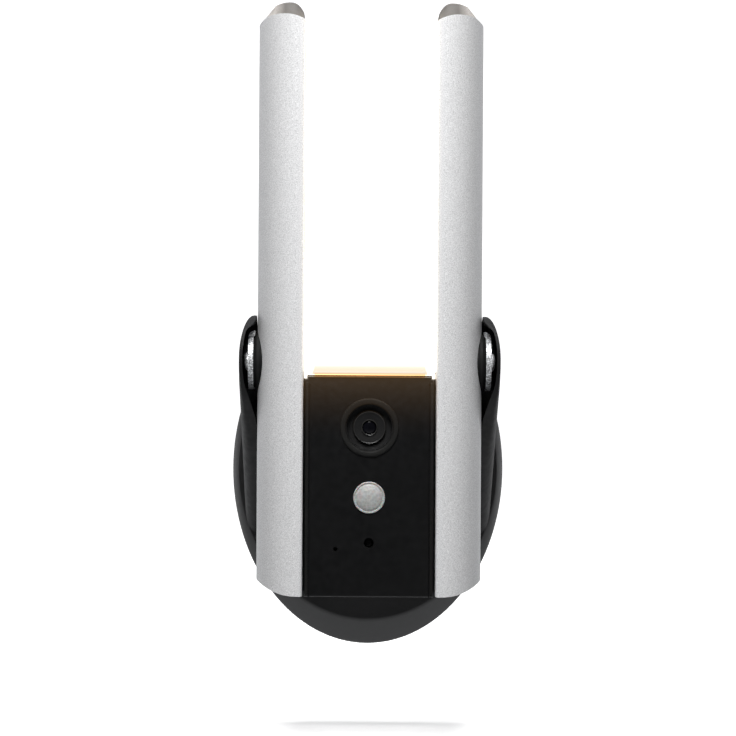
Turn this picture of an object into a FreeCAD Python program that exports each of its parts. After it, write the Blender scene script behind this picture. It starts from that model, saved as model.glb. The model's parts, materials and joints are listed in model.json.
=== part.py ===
import FreeCAD, Part
import math
import operator
import os
import Sketcher

# Floodlight security camera for an outside wall.
# Millimetres, +Z up.  The wall is the plane Y = 0 and the front looks along -Y.
# The origin is the middle of the base's back face.  "Out" below is the distance
# in front of the wall, so a point at out = 86 has Y = -86.

DIMENSIONS = (
    # the oval base on the wall
    ("base_width", 123.4), ("base_height", 160.0), ("base_edge", 4.0), ("base_depth", 12.0),
    ("face_width", 117.0), ("face_height", 137.4), ("shell_wall", 2.2),
    ("dome_width", 92.0), ("dome_height", 98.0), ("dome_top_width", 82.0),
    ("dome_top_height", 88.0), ("dome_depth", 24.0),
    ("gasket_depth", 1.5), ("gasket_width", 2.6),
    ("plate_width", 100.0), ("plate_height", 134.0), ("plate_depth", 2.0), ("plate_start", 0.0),
    ("wall_hole_radius", 2.5), ("wall_hole_across", 60.0), ("wall_hole_up", 80.0),
    ("entry_radius", 9.0), ("cable_radius", 4.0), ("post_radius", 4.0), ("post_across", 31.0),
    # the two arms and the pivot
    ("arm_inner", 48.5), ("arm_outer", 55.6), ("arm_round", 4.5), ("arm_wall", 1.7),
    ("root_low", 30.0), ("root_high", 34.0), ("ear_radius", 19.8),
    ("pivot_out", 86.0), ("pivot_up", 48.5),
    ("tab_inner", 49.4), ("tab_depth", 2.4), ("tab_high", 24.0), ("tab_back", 56.0),
    ("tab_tail_low", 12.0), ("tab_tail_high", 2.0), ("window_low", 28.0), ("window_high", 14.0),
    ("window_slant", 18.0),
    ("pivot_radius", 3.0), ("pivot_clearance", 0.06),
    ("pivot_head_radius", 4.3), ("pivot_head_depth", 1.7),
    ("spacer_radius", 12.6), ("hub_radius", 13.0), ("hub_recess", 1.6),
    # the lamp head
    ("wing_inner", 28.0), ("wing_outer", 48.0), ("wing_round", 16.5), ("wing_edge", 1.4),
    ("wing_wall", 2.0), ("head_front", 112.0), ("head_back", 66.0), ("wing_top", 195.0),
    ("head_low", 50.5), ("cap_top", 202.0), ("cap_bevel", 6.4), ("cap_seat", 5.0),
    ("bottom_cap_depth", 3.0),
    ("housing_half", 43.0), ("housing_low", 48.5), ("housing_top", 193.0), ("housing_front", 99.0),
    ("housing_wall", 2.2), ("housing_round", 7.0), ("corner_bevel", 5.0),
    ("seal_depth", 1.0), ("frame_depth", 3.0),
    # the light
    ("light_half", 27.2), ("light_low", 43.0), ("light_top", 201.0), ("light_front", 111.0),
    ("light_wall", 2.0), ("light_round", 3.0),
    ("board_depth", 1.6), ("led_across", 2.8), ("led_up", 3.5), ("led_depth", 0.8),
    ("led_step", 11.0), ("sink_plate", 3.0), ("sink_depth", 13.0), ("fin_depth", 1.4),
    # the camera section
    ("panel_front", 108.0), ("panel_top", 42.4), ("panel_depth", 2.5), ("panel_corner", 2.0),
    ("camera_up", 20.9), ("bezel_radius", 12.4), ("window_radius", 9.9), ("barrel_radius", 6.9),
    ("iris_radius", 2.9), ("motion_up", -8.6), ("motion_radius", 6.7),
    ("status_up", -27.7), ("status_radius", 2.1), ("pinhole_up", -30.3), ("pinhole_side", 14.1),
    ("pinhole_radius", 0.9), ("main_board_out", 95.0),
    ("power_board_out", 80.0), ("speaker_radius", 14.0), ("speaker_up", -26.0),
    # the service door, reset button and memory card in the underside
    ("door_half", 14.0), ("door_back", 75.0), ("door_front", 91.0), ("door_depth", 1.6),
    ("door_pin_radius", 0.8), ("door_knuckle_radius", 1.7), ("button_radius", 1.6),
    ("button_side", 8.0), ("button_out", 83.0), ("card_side", -4.0),
)


class Size:
    """A length: its number now, and the spreadsheet expression that it follows."""

    def __init__(self, value, text):
        self.value = value
        self.text = text

    def __add__(self, other):
        return combined(self, "+", other)

    def __radd__(self, other):
        return combined(other, "+", self)

    def __sub__(self, other):
        return combined(self, "-", other)

    def __rsub__(self, other):
        return combined(other, "-", self)

    def __mul__(self, other):
        return combined(self, "*", other)

    def __rmul__(self, other):
        return combined(other, "*", self)

    def __truediv__(self, other):
        return combined(self, "/", other)

    def __neg__(self):
        return combined(0.0, "-", self)


OPERATIONS = {"+": operator.add, "-": operator.sub, "*": operator.mul, "/": operator.truediv}


def as_size(number):
    """A plain number as a Size with a constant expression."""
    if isinstance(number, Size):
        return number
    return Size(float(number), f"({float(number)})")


def combined(left, symbol, right):
    """The Size of one arithmetic step on two lengths."""
    first = as_size(left)
    second = as_size(right)
    value = OPERATIONS[symbol](first.value, second.value)
    return Size(value, f"({first.text} {symbol} {second.text})")


class Dimensions:
    """The driving spreadsheet, with each alias as an attribute that is a Size."""

    def __init__(self, document):
        sheet = document.addObject("Spreadsheet::Sheet", "Dimensions")
        for row, (alias, value) in enumerate(DIMENSIONS, start=1):
            sheet.set(f"A{row}", alias)
            sheet.set(f"B{row}", str(value))
            sheet.setAlias(f"B{row}", alias)
            setattr(self, alias, Size(value, f"Dimensions.{alias}"))


doc = FreeCAD.newDocument("floodlight_camera")
dim = Dimensions(doc)
doc.recompute()

TURN_TO_AXIS = {
    "X": FreeCAD.Rotation(FreeCAD.Vector(0, 0, 1), FreeCAD.Vector(1, 0, 0)),
    "-X": FreeCAD.Rotation(FreeCAD.Vector(0, 0, 1), FreeCAD.Vector(-1, 0, 0)),
    "-Y": FreeCAD.Rotation(FreeCAD.Vector(0, 0, 1), FreeCAD.Vector(0, -1, 0)),
    "Z": FreeCAD.Rotation(),
}
nodes = []


# ---------------------------------------------------------------- helpers

def bind(thing, field, size):
    """Make a field of a document object follow a Size."""
    thing.setExpression(field, as_size(size).text)


def move(thing, side, out, up):
    """Bind the place of a document object: X, distance in front of the wall, and Z."""
    bind(thing, ".Placement.Base.x", side)
    bind(thing, ".Placement.Base.y", -as_size(out))
    bind(thing, ".Placement.Base.z", up)


def block(name, side, out, up):
    """A Part::Box from three (low, high) pairs: along X, out from the wall, and along Z."""
    solid = doc.addObject("Part::Box", name)
    bind(solid, "Length", side[1] - as_size(side[0]))
    bind(solid, "Width", out[1] - as_size(out[0]))
    bind(solid, "Height", up[1] - as_size(up[0]))
    move(solid, side[0], out[1], up[0])
    return solid


def rod(name, start, radius, length, axis="-Y"):
    """A Part::Cylinder that begins at (side, out, up) and runs along the named axis."""
    solid = doc.addObject("Part::Cylinder", name)
    bind(solid, "Radius", radius)
    bind(solid, "Height", length)
    solid.Placement.Rotation = TURN_TO_AXIS[axis]
    move(solid, *start)
    return solid


def taper(name, start, radii, length, axis="-Y"):
    """A Part::Cone from radii[0] at its start to radii[1] at its end."""
    solid = doc.addObject("Part::Cone", name)
    bind(solid, "Radius1", radii[0])
    bind(solid, "Radius2", radii[1])
    bind(solid, "Height", length)
    solid.Placement.Rotation = TURN_TO_AXIS[axis]
    move(solid, *start)
    return solid


def fuse(name, solids):
    """One solid from several that touch or overlap."""
    joined = doc.addObject("Part::MultiFuse", name)
    joined.Shapes = solids
    return joined


def cut(name, base, tools):
    """The base with every tool taken away; a tool that removes nothing is an error."""
    whole = base
    for number, tool in enumerate(tools, start=1):
        result = doc.addObject("Part::Cut", name if number == len(tools) else f"{name}_{number}")
        result.Base = whole
        result.Tool = tool
        doc.recompute()
        if result.Shape.Volume > whole.Shape.Volume - 1e-6:
            raise ValueError(f"{tool.Name} takes nothing from {name}")
        whole = result
    return whole


def group(name, solids):
    """Separate identical solids that share one node."""
    together = doc.addObject("Part::Compound", name)
    together.Links = solids
    return together


def mirrored(name, source):
    """The same piece on the other side of the plane X = 0."""
    other = doc.addObject("Part::Mirroring", name)
    other.Source = source
    other.Normal = FreeCAD.Vector(1, 0, 0)
    return other


def node(thing, name):
    """Name a finished sub-part; the label is also its file name."""
    thing.Label = name
    nodes.append(thing)
    return thing


def both_sides(build, name):
    """Make a right-hand sub-part and its mirror image on the left."""
    right = node(build(f"right_{name}"), f"right_{name}")
    node(mirrored(f"left_{name}", right), f"left_{name}")


def pair(build, name):
    """Make a fastener and its mirror image as the separate solids of one node."""
    right = build(f"right_{name}")
    node(group(f"{name}_pair", [right, mirrored(f"left_{name}", right)]), f"{name}s")


class Body:
    """A PartDesign body with sketches on its own origin planes."""

    def __init__(self, name):
        self.body = doc.addObject("PartDesign::Body", name)
        self.count = 0

    def label(self, kind):
        self.count += 1
        return f"{self.body.Name}_{kind}_{self.count}"

    def sketch(self, plane, offset):
        """A sketch parallel to an origin plane; XZ_Plane faces the front, so offset is out."""
        drawing = self.body.newObject("Sketcher::SketchObject", self.label("sketch"))
        origin_plane = next(f for f in self.body.Origin.OriginFeatures if f.Role == plane)
        drawing.AttachmentSupport = [(origin_plane, "")]
        drawing.MapMode = "FlatFace"
        bind(drawing, ".AttachmentOffset.Base.z", offset)
        return drawing

    def finish(self, feature, adds):
        """Recompute and check that the feature added or removed material."""
        doc.recompute()
        before = feature.BaseFeature.Shape.Volume if feature.BaseFeature else 0.0
        change = feature.Shape.Volume - before
        if (change > 0) != adds or abs(change) < 1e-6:
            raise ValueError(f"{feature.Name} changed the volume by {change}")
        return feature

    def pad(self, drawing, length, back=False):
        feature = self.body.newObject("PartDesign::Pad", self.label("pad"))
        feature.Profile = drawing
        bind(feature, "Length", length)
        feature.Reversed = back
        return self.finish(feature, adds=True)

    def pocket(self, drawing, length, back=False):
        feature = self.body.newObject("PartDesign::Pocket", self.label("pocket"))
        feature.Profile = drawing
        bind(feature, "Length", length)
        feature.Reversed = back
        return self.finish(feature, adds=False)

    def dress(self, kind, field, size, wanted):
        """A fillet or chamfer on the edges that wanted(edge) picks."""
        base = self.body.Tip
        edges = [f"Edge{n}" for n, e in enumerate(base.Shape.Edges, start=1) if wanted(e)]
        if not edges:
            raise ValueError(f"no edges to dress on {self.body.Name}")
        feature = self.body.newObject(f"PartDesign::{kind}", self.label(kind.lower()))
        feature.Base = (base, edges)
        bind(feature, field, size)
        doc.recompute()
        return feature

    def fillet(self, size, wanted):
        return self.dress("Fillet", "Radius", size, wanted)

    def chamfer(self, size, wanted):
        return self.dress("Chamfer", "Size", size, wanted)


def outline(drawing, corners):
    """A closed polygon whose corners are pairs of Sizes."""
    points = [(as_size(a), as_size(b)) for a, b in corners]
    total = len(points)
    for index, (a, b) in enumerate(points):
        c, d = points[(index + 1) % total]
        start = FreeCAD.Vector(a.value, b.value, 0)
        drawing.addGeometry(Part.LineSegment(start, FreeCAD.Vector(c.value, d.value, 0)))
    first = drawing.GeometryCount - total
    for index, (a, b) in enumerate(points):
        line = first + index
        following = first + (index + 1) % total
        drawing.addConstraint(Sketcher.Constraint("Coincident", line, 2, following, 1))
        pin(drawing, line, 1, a, b)


def pin(drawing, geometry, vertex, a, b):
    """Hold a sketch vertex at a distance from the sketch's own origin."""
    across = drawing.addConstraint(
        Sketcher.Constraint("DistanceX", -1, 1, geometry, vertex, a.value))
    drawing.setExpression(f"Constraints[{across}]", a.text)
    upward = drawing.addConstraint(
        Sketcher.Constraint("DistanceY", -1, 1, geometry, vertex, b.value))
    drawing.setExpression(f"Constraints[{upward}]", b.text)


def rectangle(drawing, low_a, high_a, low_b, high_b):
    """A rectangle in the sketch's own two directions."""
    outline(drawing, ((low_a, low_b), (high_a, low_b), (high_a, high_b), (low_a, high_b)))


def disc(drawing, a, b, radius):
    """A circle in the sketch's own two directions."""
    centre = (as_size(a), as_size(b))
    size = as_size(radius)
    middle = FreeCAD.Vector(centre[0].value, centre[1].value, 0)
    index = drawing.addGeometry(Part.Circle(middle, FreeCAD.Vector(0, 0, 1), size.value))
    pin(drawing, index, 3, *centre)
    held = drawing.addConstraint(Sketcher.Constraint("Radius", index, size.value))
    drawing.setExpression(f"Constraints[{held}]", size.text)


def runs_along(edge, axis):
    """Whether a straight edge is parallel to X, Y or Z, given as 0, 1 or 2."""
    if edge.Curve.TypeId != "Part::GeomLine":
        return False
    return abs(abs(edge.Curve.Direction[axis]) - 1) < 1e-6


def lies_at(edge, axis, value):
    """Whether a whole edge lies in the plane where one coordinate has this value."""
    box = edge.BoundBox
    low = (box.XMin, box.YMin, box.ZMin)[axis]
    high = (box.XMax, box.YMax, box.ZMax)[axis]
    return abs(low - value) < 1e-3 and abs(high - value) < 1e-3


def oval(name, width, height, out, up=0.0):
    """An upright ellipse that faces the front."""
    curve = doc.addObject("Part::Ellipse", name)
    bind(curve, "MajorRadius", height / 2)
    bind(curve, "MinorRadius", width / 2)
    curve.Placement.Rotation = FreeCAD.Rotation(
        FreeCAD.Vector(0, 0, 1), FreeCAD.Vector(1, 0, 0), FreeCAD.Vector(0, -1, 0), "ZXY")
    move(curve, 0.0, out, up)
    return curve


def loft(name, sections):
    """A ruled solid through a row of closed curves."""
    solid = doc.addObject("Part::Loft", name)
    solid.Sections = sections
    solid.Solid = True
    solid.Ruled = True
    return solid


# ---------------------------------------------------------------- base on the wall

def oval_block(name, width, height, out):
    """A straight elliptical block between two distances from the wall."""
    return loft(name, [oval(f"{name}_back", width, height, out[0]),
                       oval(f"{name}_front", width, height, out[1])])


def wall_gasket():
    """Foam ring that seals the base's rim against the wall."""
    inner = dim.gasket_width * 2
    ring = oval_block("gasket_ring", dim.base_width - 1, dim.base_height - 1,
                      (0.0, dim.gasket_depth))
    hole = oval_block("gasket_hole", dim.base_width - 1 - inner, dim.base_height - 1 - inner,
                      (-1.0, dim.gasket_depth + 1))
    node(cut("wall_gasket_solid", ring, [hole]), "wall_gasket")


def base_shell():
    """Bevelled oval cover with a shallow dome for the wiring, open to the wall."""
    start = dim.gasket_depth
    rim = loft("rim_solid", [
        oval("rim_back", dim.base_width, dim.base_height, start),
        oval("rim_edge", dim.base_width, dim.base_height, dim.base_edge),
        oval("rim_face", dim.face_width, dim.face_height, dim.base_depth)])
    dome = loft("dome_solid", [
        oval("dome_foot", dim.dome_width, dim.dome_height, dim.base_depth - 1),
        oval("dome_head", dim.dome_top_width, dim.dome_top_height, dim.dome_depth)])
    twice = dim.shell_wall * 2
    room = loft("rim_room", [
        oval("room_back", dim.base_width - twice, dim.base_height - twice, start - 1),
        oval("room_edge", dim.base_width - twice, dim.base_height - twice, dim.base_edge),
        oval("room_face", dim.face_width - twice, dim.face_height - twice,
             dim.base_depth - dim.shell_wall)])
    dome_room = loft("dome_room", [
        oval("dome_room_foot", dim.dome_width - twice, dim.dome_height - twice, start),
        oval("dome_room_head", dim.dome_top_width - twice, dim.dome_top_height - twice,
             dim.dome_depth - dim.shell_wall)])
    shell = cut("base_hollow", fuse("base_outer", [rim, dome]), [room, dome_room])
    post_start = dim.plate_start + dim.plate_depth
    posts = [rod(f"base_post_{n}", (side * dim.post_across, post_start, 0.0), dim.post_radius,
                 dim.dome_depth - 1 - post_start) for n, side in enumerate((-1, 1))]
    bores = [rod(f"base_bore_{n}", (side * dim.post_across, 0.0, 0.0), 1.7, 40.0)
             for n, side in enumerate((-1, 1))]
    counterbores = [rod(f"base_sink_{n}", (side * dim.post_across, dim.dome_depth - 2, 0.0),
                        3.2, 10.0) for n, side in enumerate((-1, 1))]
    lead_hole = rod("base_lead_hole", (0.0, dim.dome_depth - 6, 26.0), 5.0, 12.0)
    body = fuse("base_with_posts", [shell] + posts)
    node(cut("base_shell_solid", body, bores + counterbores + [lead_hole]), "base_shell")


def wall_plate():
    """Flat steel plate that is screwed to the wall first, with a middle hole for the cable."""
    front = dim.plate_start + dim.plate_depth
    plate = oval_block("wall_plate_oval", dim.plate_width, dim.plate_height,
                       (dim.plate_start, front))
    holes = [rod(f"wall_hole_{n}_{m}", (x * dim.wall_hole_across / 2, 0.0,
                                        z * dim.wall_hole_up / 2), dim.wall_hole_radius, 9.0)
             for n, x in enumerate((-1, 1)) for m, z in enumerate((-1, 1))]
    entry = rod("wall_entry_hole", (0.0, 0.0, 0.0), dim.entry_radius, 9.0)
    taps = [rod(f"plate_tap_{n}", (side * dim.post_across, 0.0, 0.0), 1.5, 9.0)
            for n, side in enumerate((-1, 1))]
    node(cut("wall_plate_solid", plate, holes + [entry] + taps), "wall_plate")


def cable_grommet():
    """Rubber grommet in the wall plate's middle hole, with a bore for the mains cable."""
    body = rod("grommet_body", (0.0, 0.2, 0.0), dim.entry_radius, 4.4)
    flange = rod("grommet_flange", (0.0, 2.4, 0.0), dim.entry_radius + 2, 2.2)
    bore = rod("grommet_bore", (0.0, -1.0, 0.0), dim.cable_radius, 9.0)
    node(cut("cable_grommet_solid", fuse("grommet_outer", [body, flange]), [bore]),
         "cable_grommet")


def base_screws():
    """Two screws through the base's dome into the wall plate."""
    screws = []
    for number, side in enumerate((-1, 1)):
        place = side * dim.post_across
        head = rod(f"base_screw_head_{number}", (place, dim.dome_depth - 2, 0.0), 2.9, 1.6)
        shank = rod(f"base_screw_shank_{number}", (place, 0.6, 0.0), 1.45, dim.dome_depth - 2)
        screws.append(fuse(f"base_screw_{number}", [head, shank]))
    node(group("base_screws_group", screws), "base_screws")


def terminal_block():
    """Three-pole terminal block on the wall plate for the mains wires, and its screws."""
    back = dim.plate_start + dim.plate_depth
    body = block("terminal_body", (-18.0, 18.0), (back, back + 13), (-34.0, -18.0))
    tunnels = [rod(f"terminal_tunnel_{n}", (x, back + 5, -40.0), 1.9, 30.0, "Z")
               for n, x in enumerate((-11.0, 0.0, 11.0))]
    wells = [rod(f"terminal_well_{n}", (x, back + 6, -26.0), 2.3, 12.0)
             for n, x in enumerate((-11.0, 0.0, 11.0))]
    node(cut("terminal_block_solid", body, tunnels + wells), "terminal_block")
    screws = [rod(f"terminal_screw_{n}", (x, back + 7.2, -26.0), 2.1, 4.0)
              for n, x in enumerate((-11.0, 0.0, 11.0))]
    node(group("terminal_screws_group", screws), "terminal_screws")


def lead_glands():
    """Glands for the flexible lead between base and head: one in the dome, one in the head."""
    for name, up, wall_out, thread_back, nut_out in (
            ("base_gland", 26.0, dim.dome_depth, 5.0, 3.0),
            ("head_gland", 86.0, dim.head_back + dim.housing_wall, 6.0, 3.0)):
        tube = rod(f"{name}_tube", (0.0, wall_out - thread_back, up), 4.9, thread_back + nut_out)
        inside = rod(f"{name}_flange", (0.0, wall_out - dim.shell_wall - nut_out, up), 7.0, nut_out)
        bore = rod(f"{name}_bore", (0.0, wall_out - 12, up), 2.6, 24.0)
        if name == "head_gland":
            inside = rod(f"{name}_nut", (0.0, wall_out, up), 7.0, nut_out)
        node(cut(f"{name}_solid", fuse(f"{name}_outer", [tube, inside]), [bore]), name)


# ---------------------------------------------------------------- arms and pivots

TAB_SCREW_ROWS = (-9.0, -2.0)


def arm_outline(drawing, inset):
    """The arm from the side: a root on the base, leaning up to a round ear at the pivot.

    The sketch's own directions are Y and Z.  Two straight edges run tangent to the ear.
    """
    root_y = -(dim.base_depth + inset)
    low = -dim.root_low + inset * 1.6
    high = dim.root_high - inset * 1.6
    radius = dim.ear_radius - inset
    centre = (-dim.pivot_out, dim.pivot_up)
    middle = FreeCAD.Vector(centre[0].value, centre[1].value, 0)

    def touch(corner_z, turn):
        """Where a tangent from a root corner meets the ear."""
        gap = FreeCAD.Vector(root_y.value, corner_z.value, 0) - middle
        angle = math.atan2(gap.y, gap.x) + turn * math.acos(radius.value / gap.Length)
        return angle, middle + FreeCAD.Vector(math.cos(angle), math.sin(angle), 0) * radius.value

    top_angle, top = touch(high, 1)
    low_angle, bottom = touch(low, -1)
    bottom_root = FreeCAD.Vector(root_y.value, low.value, 0)
    top_root = FreeCAD.Vector(root_y.value, high.value, 0)
    drawing.addGeometry(Part.LineSegment(bottom_root, top_root))
    drawing.addGeometry(Part.LineSegment(top_root, top))
    circle = Part.Circle(middle, FreeCAD.Vector(0, 0, 1), radius.value)
    drawing.addGeometry(Part.ArcOfCircle(circle, top_angle, low_angle + 2 * math.pi))
    drawing.addGeometry(Part.LineSegment(bottom, bottom_root))
    drawing.addConstraint(Sketcher.Constraint("Coincident", 0, 2, 1, 1))
    drawing.addConstraint(Sketcher.Constraint("Tangent", 1, 2, 2, 1))
    drawing.addConstraint(Sketcher.Constraint("Tangent", 2, 2, 3, 1))
    drawing.addConstraint(Sketcher.Constraint("Coincident", 3, 2, 0, 1))
    pin(drawing, 0, 1, root_y, low)
    pin(drawing, 0, 2, root_y, high)
    pin(drawing, 2, 3, *centre)
    held = drawing.addConstraint(Sketcher.Constraint("Radius", 2, radius.value))
    drawing.setExpression(f"Constraints[{held}]", radius.text)


def arm(name):
    """Hollow arm, open to the lamp; its ear hoods the pivot and is open to the front."""
    part = Body(name)
    outer = part.sketch("YZ_Plane", dim.arm_inner)
    arm_outline(outer, as_size(0.0))
    part.pad(outer, dim.arm_outer - dim.arm_inner)
    part.fillet(dim.arm_round, lambda e: lies_at(e, 0, dim.arm_outer.value)
                and not lies_at(e, 1, -dim.base_depth.value))
    hollow = part.sketch("YZ_Plane", dim.arm_inner)
    arm_outline(hollow, dim.arm_wall)
    part.pocket(hollow, dim.arm_outer - dim.arm_inner - dim.arm_wall, back=True)
    window = part.sketch("XZ_Plane", dim.pivot_out + dim.ear_radius + 1)
    inside = dim.arm_inner - 1
    outside = dim.arm_outer - dim.arm_wall
    low = dim.pivot_up - dim.window_low
    high = dim.pivot_up + dim.window_high
    outline(window, ((inside, low), (outside, low + dim.window_slant), (outside, high),
                     (inside, high)))
    part.pocket(window, 20.0)
    return part.body


def pivot_tab(name):
    """Zinc-plated steel strip inside the arm, with a rounded front end and the pivot hole."""
    part = Body(name)
    side = part.sketch("YZ_Plane", dim.tab_inner)
    rectangle(side, -dim.pivot_out, -dim.tab_back, dim.pivot_up - dim.tab_tail_low,
              dim.pivot_up + dim.tab_tail_high)
    part.pad(side, dim.tab_depth)
    nose = part.sketch("YZ_Plane", dim.tab_inner)
    disc(nose, -dim.pivot_out, dim.pivot_up, dim.tab_high / 2)
    part.pad(nose, dim.tab_depth)
    hole = part.sketch("YZ_Plane", dim.tab_inner)
    disc(hole, -dim.pivot_out, dim.pivot_up, dim.pivot_radius + dim.pivot_clearance)
    part.pocket(hole, dim.tab_depth, back=True)
    fixing = part.sketch("YZ_Plane", dim.tab_inner)
    for up in TAB_SCREW_ROWS:
        disc(fixing, -dim.tab_back - 6, dim.pivot_up + up, 1.6)
    part.pocket(fixing, dim.tab_depth, back=True)
    return part.body


def tab_seat(name):
    """Plastic block in the arm that the steel strip is screwed to."""
    outside = dim.tab_inner + dim.tab_depth
    body = block(f"{name}_block", (outside, dim.arm_outer - dim.arm_wall),
                 (dim.tab_back - 1, dim.tab_back + 13),
                 (dim.pivot_up - dim.tab_tail_low, dim.pivot_up + dim.tab_tail_high - 1))
    holes = [rod(f"{name}_hole_{n}", (dim.arm_inner, dim.tab_back + 6, dim.pivot_up + up),
                 1.2, 4.6, "X") for n, up in enumerate(TAB_SCREW_ROWS)]
    return cut(f"{name}_solid", body, holes)


def tab_screws(name):
    """Two small screws that hold the steel strip to its seat."""
    screws = []
    for number, up in enumerate(TAB_SCREW_ROWS):
        place = (dim.tab_inner - 0.5, dim.tab_back + 6, dim.pivot_up + up)
        head = rod(f"{name}_head_{number}", place, 2.6, 0.5, "X")
        shank = rod(f"{name}_shank_{number}", place, 1.15, 4.2, "X")
        screws.append(fuse(f"{name}_{number}", [head, shank]))
    return group(f"{name}_group", screws)


def pivot_screw(name):
    """Domed pivot screw: its shank turns in the steel strip and ends in the nut."""
    head_start = dim.tab_inner + dim.tab_depth + 0.1
    head = taper(f"{name}_head", (head_start, dim.pivot_out, dim.pivot_up),
                 (dim.pivot_head_radius, dim.pivot_head_radius * 0.62), dim.pivot_head_depth, "X")
    shank = rod(f"{name}_shank", (dim.housing_half - 7, dim.pivot_out, dim.pivot_up),
                dim.pivot_radius, head_start - dim.housing_half + 7, "X")
    cross = [block(f"{name}_slot_{n}", (head_start + dim.pivot_head_depth - 1,
                                        head_start + dim.pivot_head_depth + 1),
                   (dim.pivot_out - along, dim.pivot_out + along),
                   (dim.pivot_up - 0.45 - 1.55 + along, dim.pivot_up + 0.45 + 1.55 - along))
             for n, along in enumerate((0.45, 1.55))]
    return cut(f"{name}_solid", fuse(f"{name}_whole", [head, shank]), cross)


def pivot_spacer(name):
    """Black friction washer between the lamp's hub and the steel strip."""
    start = dim.wing_outer - dim.hub_recess
    disc_solid = rod(f"{name}_disc", (start, dim.pivot_out, dim.pivot_up), dim.spacer_radius,
                     dim.tab_inner - start - 0.1, "X")
    bore = rod(f"{name}_bore", (start - 1, dim.pivot_out, dim.pivot_up),
               dim.pivot_radius + 0.05, 9.0, "X")
    return cut(f"{name}_solid", disc_solid, [bore])


def pivot_hub(name):
    """Hub on the side of the rear housing that fills the round recess in the wing."""
    body = rod(f"{name}_disc", (dim.housing_half, dim.pivot_out, dim.pivot_up), dim.hub_radius,
               dim.wing_outer - dim.hub_recess - dim.housing_half, "X")
    bore = rod(f"{name}_bore", (dim.housing_half - 1, dim.pivot_out, dim.pivot_up),
               dim.pivot_radius + 0.05, 9.0, "X")
    return cut(f"{name}_solid", body, [bore])


def pivot_nut(name):
    """Hexagonal nut inside the rear housing that the pivot screw is tightened into."""
    part = Body(name)
    face = part.sketch("YZ_Plane", dim.housing_half - dim.housing_wall - 4)
    corners = []
    for corner in range(6):
        angle = math.radians(60 * corner)
        corners.append((-dim.pivot_out + 5.8 * math.cos(angle),
                        dim.pivot_up + 5.8 * math.sin(angle)))
    outline(face, corners)
    part.pad(face, 3.9)
    hole = part.sketch("YZ_Plane", dim.housing_half - dim.housing_wall - 4)
    disc(hole, -dim.pivot_out, dim.pivot_up, dim.pivot_radius)
    part.pocket(hole, 4.0, back=True)
    return part.body


# ---------------------------------------------------------------- lamp head: covers

def pad_wing_plan(part, inset, up):
    """Pad the wing's plan: square inside, with a large round on the outside front edge."""
    inset = as_size(inset)
    plan = part.sketch("XY_Plane", up[0])
    low = dim.wing_inner + inset
    high = dim.wing_outer - inset
    front = -(dim.head_front - inset)
    back = -(dim.head_back + 1)
    radius = dim.wing_round - inset
    centre = (high - radius, front + radius)
    middle = FreeCAD.Vector(centre[0].value, centre[1].value, 0)
    corners = ((high, centre[1]), (high, back), (low, back), (low, front), (centre[0], front))
    for (a, b), (c, d) in zip(corners, corners[1:]):
        plan.addGeometry(Part.LineSegment(FreeCAD.Vector(a.value, b.value, 0),
                                          FreeCAD.Vector(c.value, d.value, 0)))
    circle = Part.Circle(middle, FreeCAD.Vector(0, 0, 1), radius.value)
    plan.addGeometry(Part.ArcOfCircle(circle, -math.pi / 2, 0.0))
    for line in range(3):
        plan.addConstraint(Sketcher.Constraint("Coincident", line, 2, line + 1, 1))
    plan.addConstraint(Sketcher.Constraint("Coincident", 3, 2, 4, 1))
    plan.addConstraint(Sketcher.Constraint("Coincident", 4, 2, 0, 1))
    for line, (a, b) in enumerate(corners[:4]):
        pin(plan, line, 1, a, b)
    pin(plan, 4, 1, *corners[4])
    held = plan.addConstraint(Sketcher.Constraint("Radius", 4, radius.value))
    plan.setExpression(f"Constraints[{held}]", radius.text)
    part.pad(plan, up[1] - as_size(up[0]))


def wing_column(name, inset, up):
    """A tall column with the wing's plan."""
    part = Body(name)
    pad_wing_plan(part, inset, up)
    return part


def wing(name):
    """Silver side cover: a thin curved shell, with a slanted lower end and a pivot opening."""
    outer = wing_column(f"{name}_outer", 0.0, (-dim.head_low, dim.wing_top))
    outer.fillet(dim.wing_edge, lambda e: runs_along(e, 2)
                 and lies_at(e, 1, -dim.head_front.value)
                 and lies_at(e, 0, dim.wing_inner.value))
    room = wing_column(f"{name}_room", dim.wing_wall, (-dim.head_low - 1, dim.wing_top + 1))
    back = block(f"{name}_back", (dim.wing_inner - 1, dim.wing_inner + dim.wing_wall + 0.5),
                 (dim.head_back - 1, dim.housing_front + dim.seal_depth + dim.frame_depth),
                 (-dim.head_low - 1, dim.wing_top + 1))
    opening = rod(f"{name}_opening", (dim.wing_outer - 6, dim.pivot_out, dim.pivot_up),
                  dim.hub_radius + 0.5, 9.0, "X")
    slope = block(f"{name}_slope", (0.0, 60.0), (0.0, 60.0), (-20.0, 0.0))
    slope.Placement.Rotation = FreeCAD.Rotation(FreeCAD.Vector(1, 0, 0), 8)
    move(slope, 0.0, dim.head_front, -dim.head_low - 20)
    return cut(f"{name}_solid", outer.body, [room.body, back, opening, slope])


def wing_cap(name):
    """Plug in the wing's upper end, bevelled at the front, outside and back."""
    part = Body(f"{name}_plug")
    inside = dim.wing_wall + 0.2
    pad_wing_plan(part, inside, (dim.wing_top - dim.cap_seat, dim.wing_top))
    pad_wing_plan(part, as_size(0.8), (dim.wing_top, dim.cap_top))
    part.chamfer(dim.cap_bevel, lambda e: lies_at(e, 2, dim.cap_top.value)
                 and not lies_at(e, 0, (dim.wing_inner + 0.8).value))
    trim = block(f"{name}_trim", (dim.wing_inner - 1, dim.wing_outer),
                 (dim.head_back - 1, dim.housing_front + dim.seal_depth + dim.frame_depth),
                 (dim.wing_top - dim.cap_seat - 1, dim.wing_top))
    return cut(f"{name}_solid", part.body, [trim])


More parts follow.
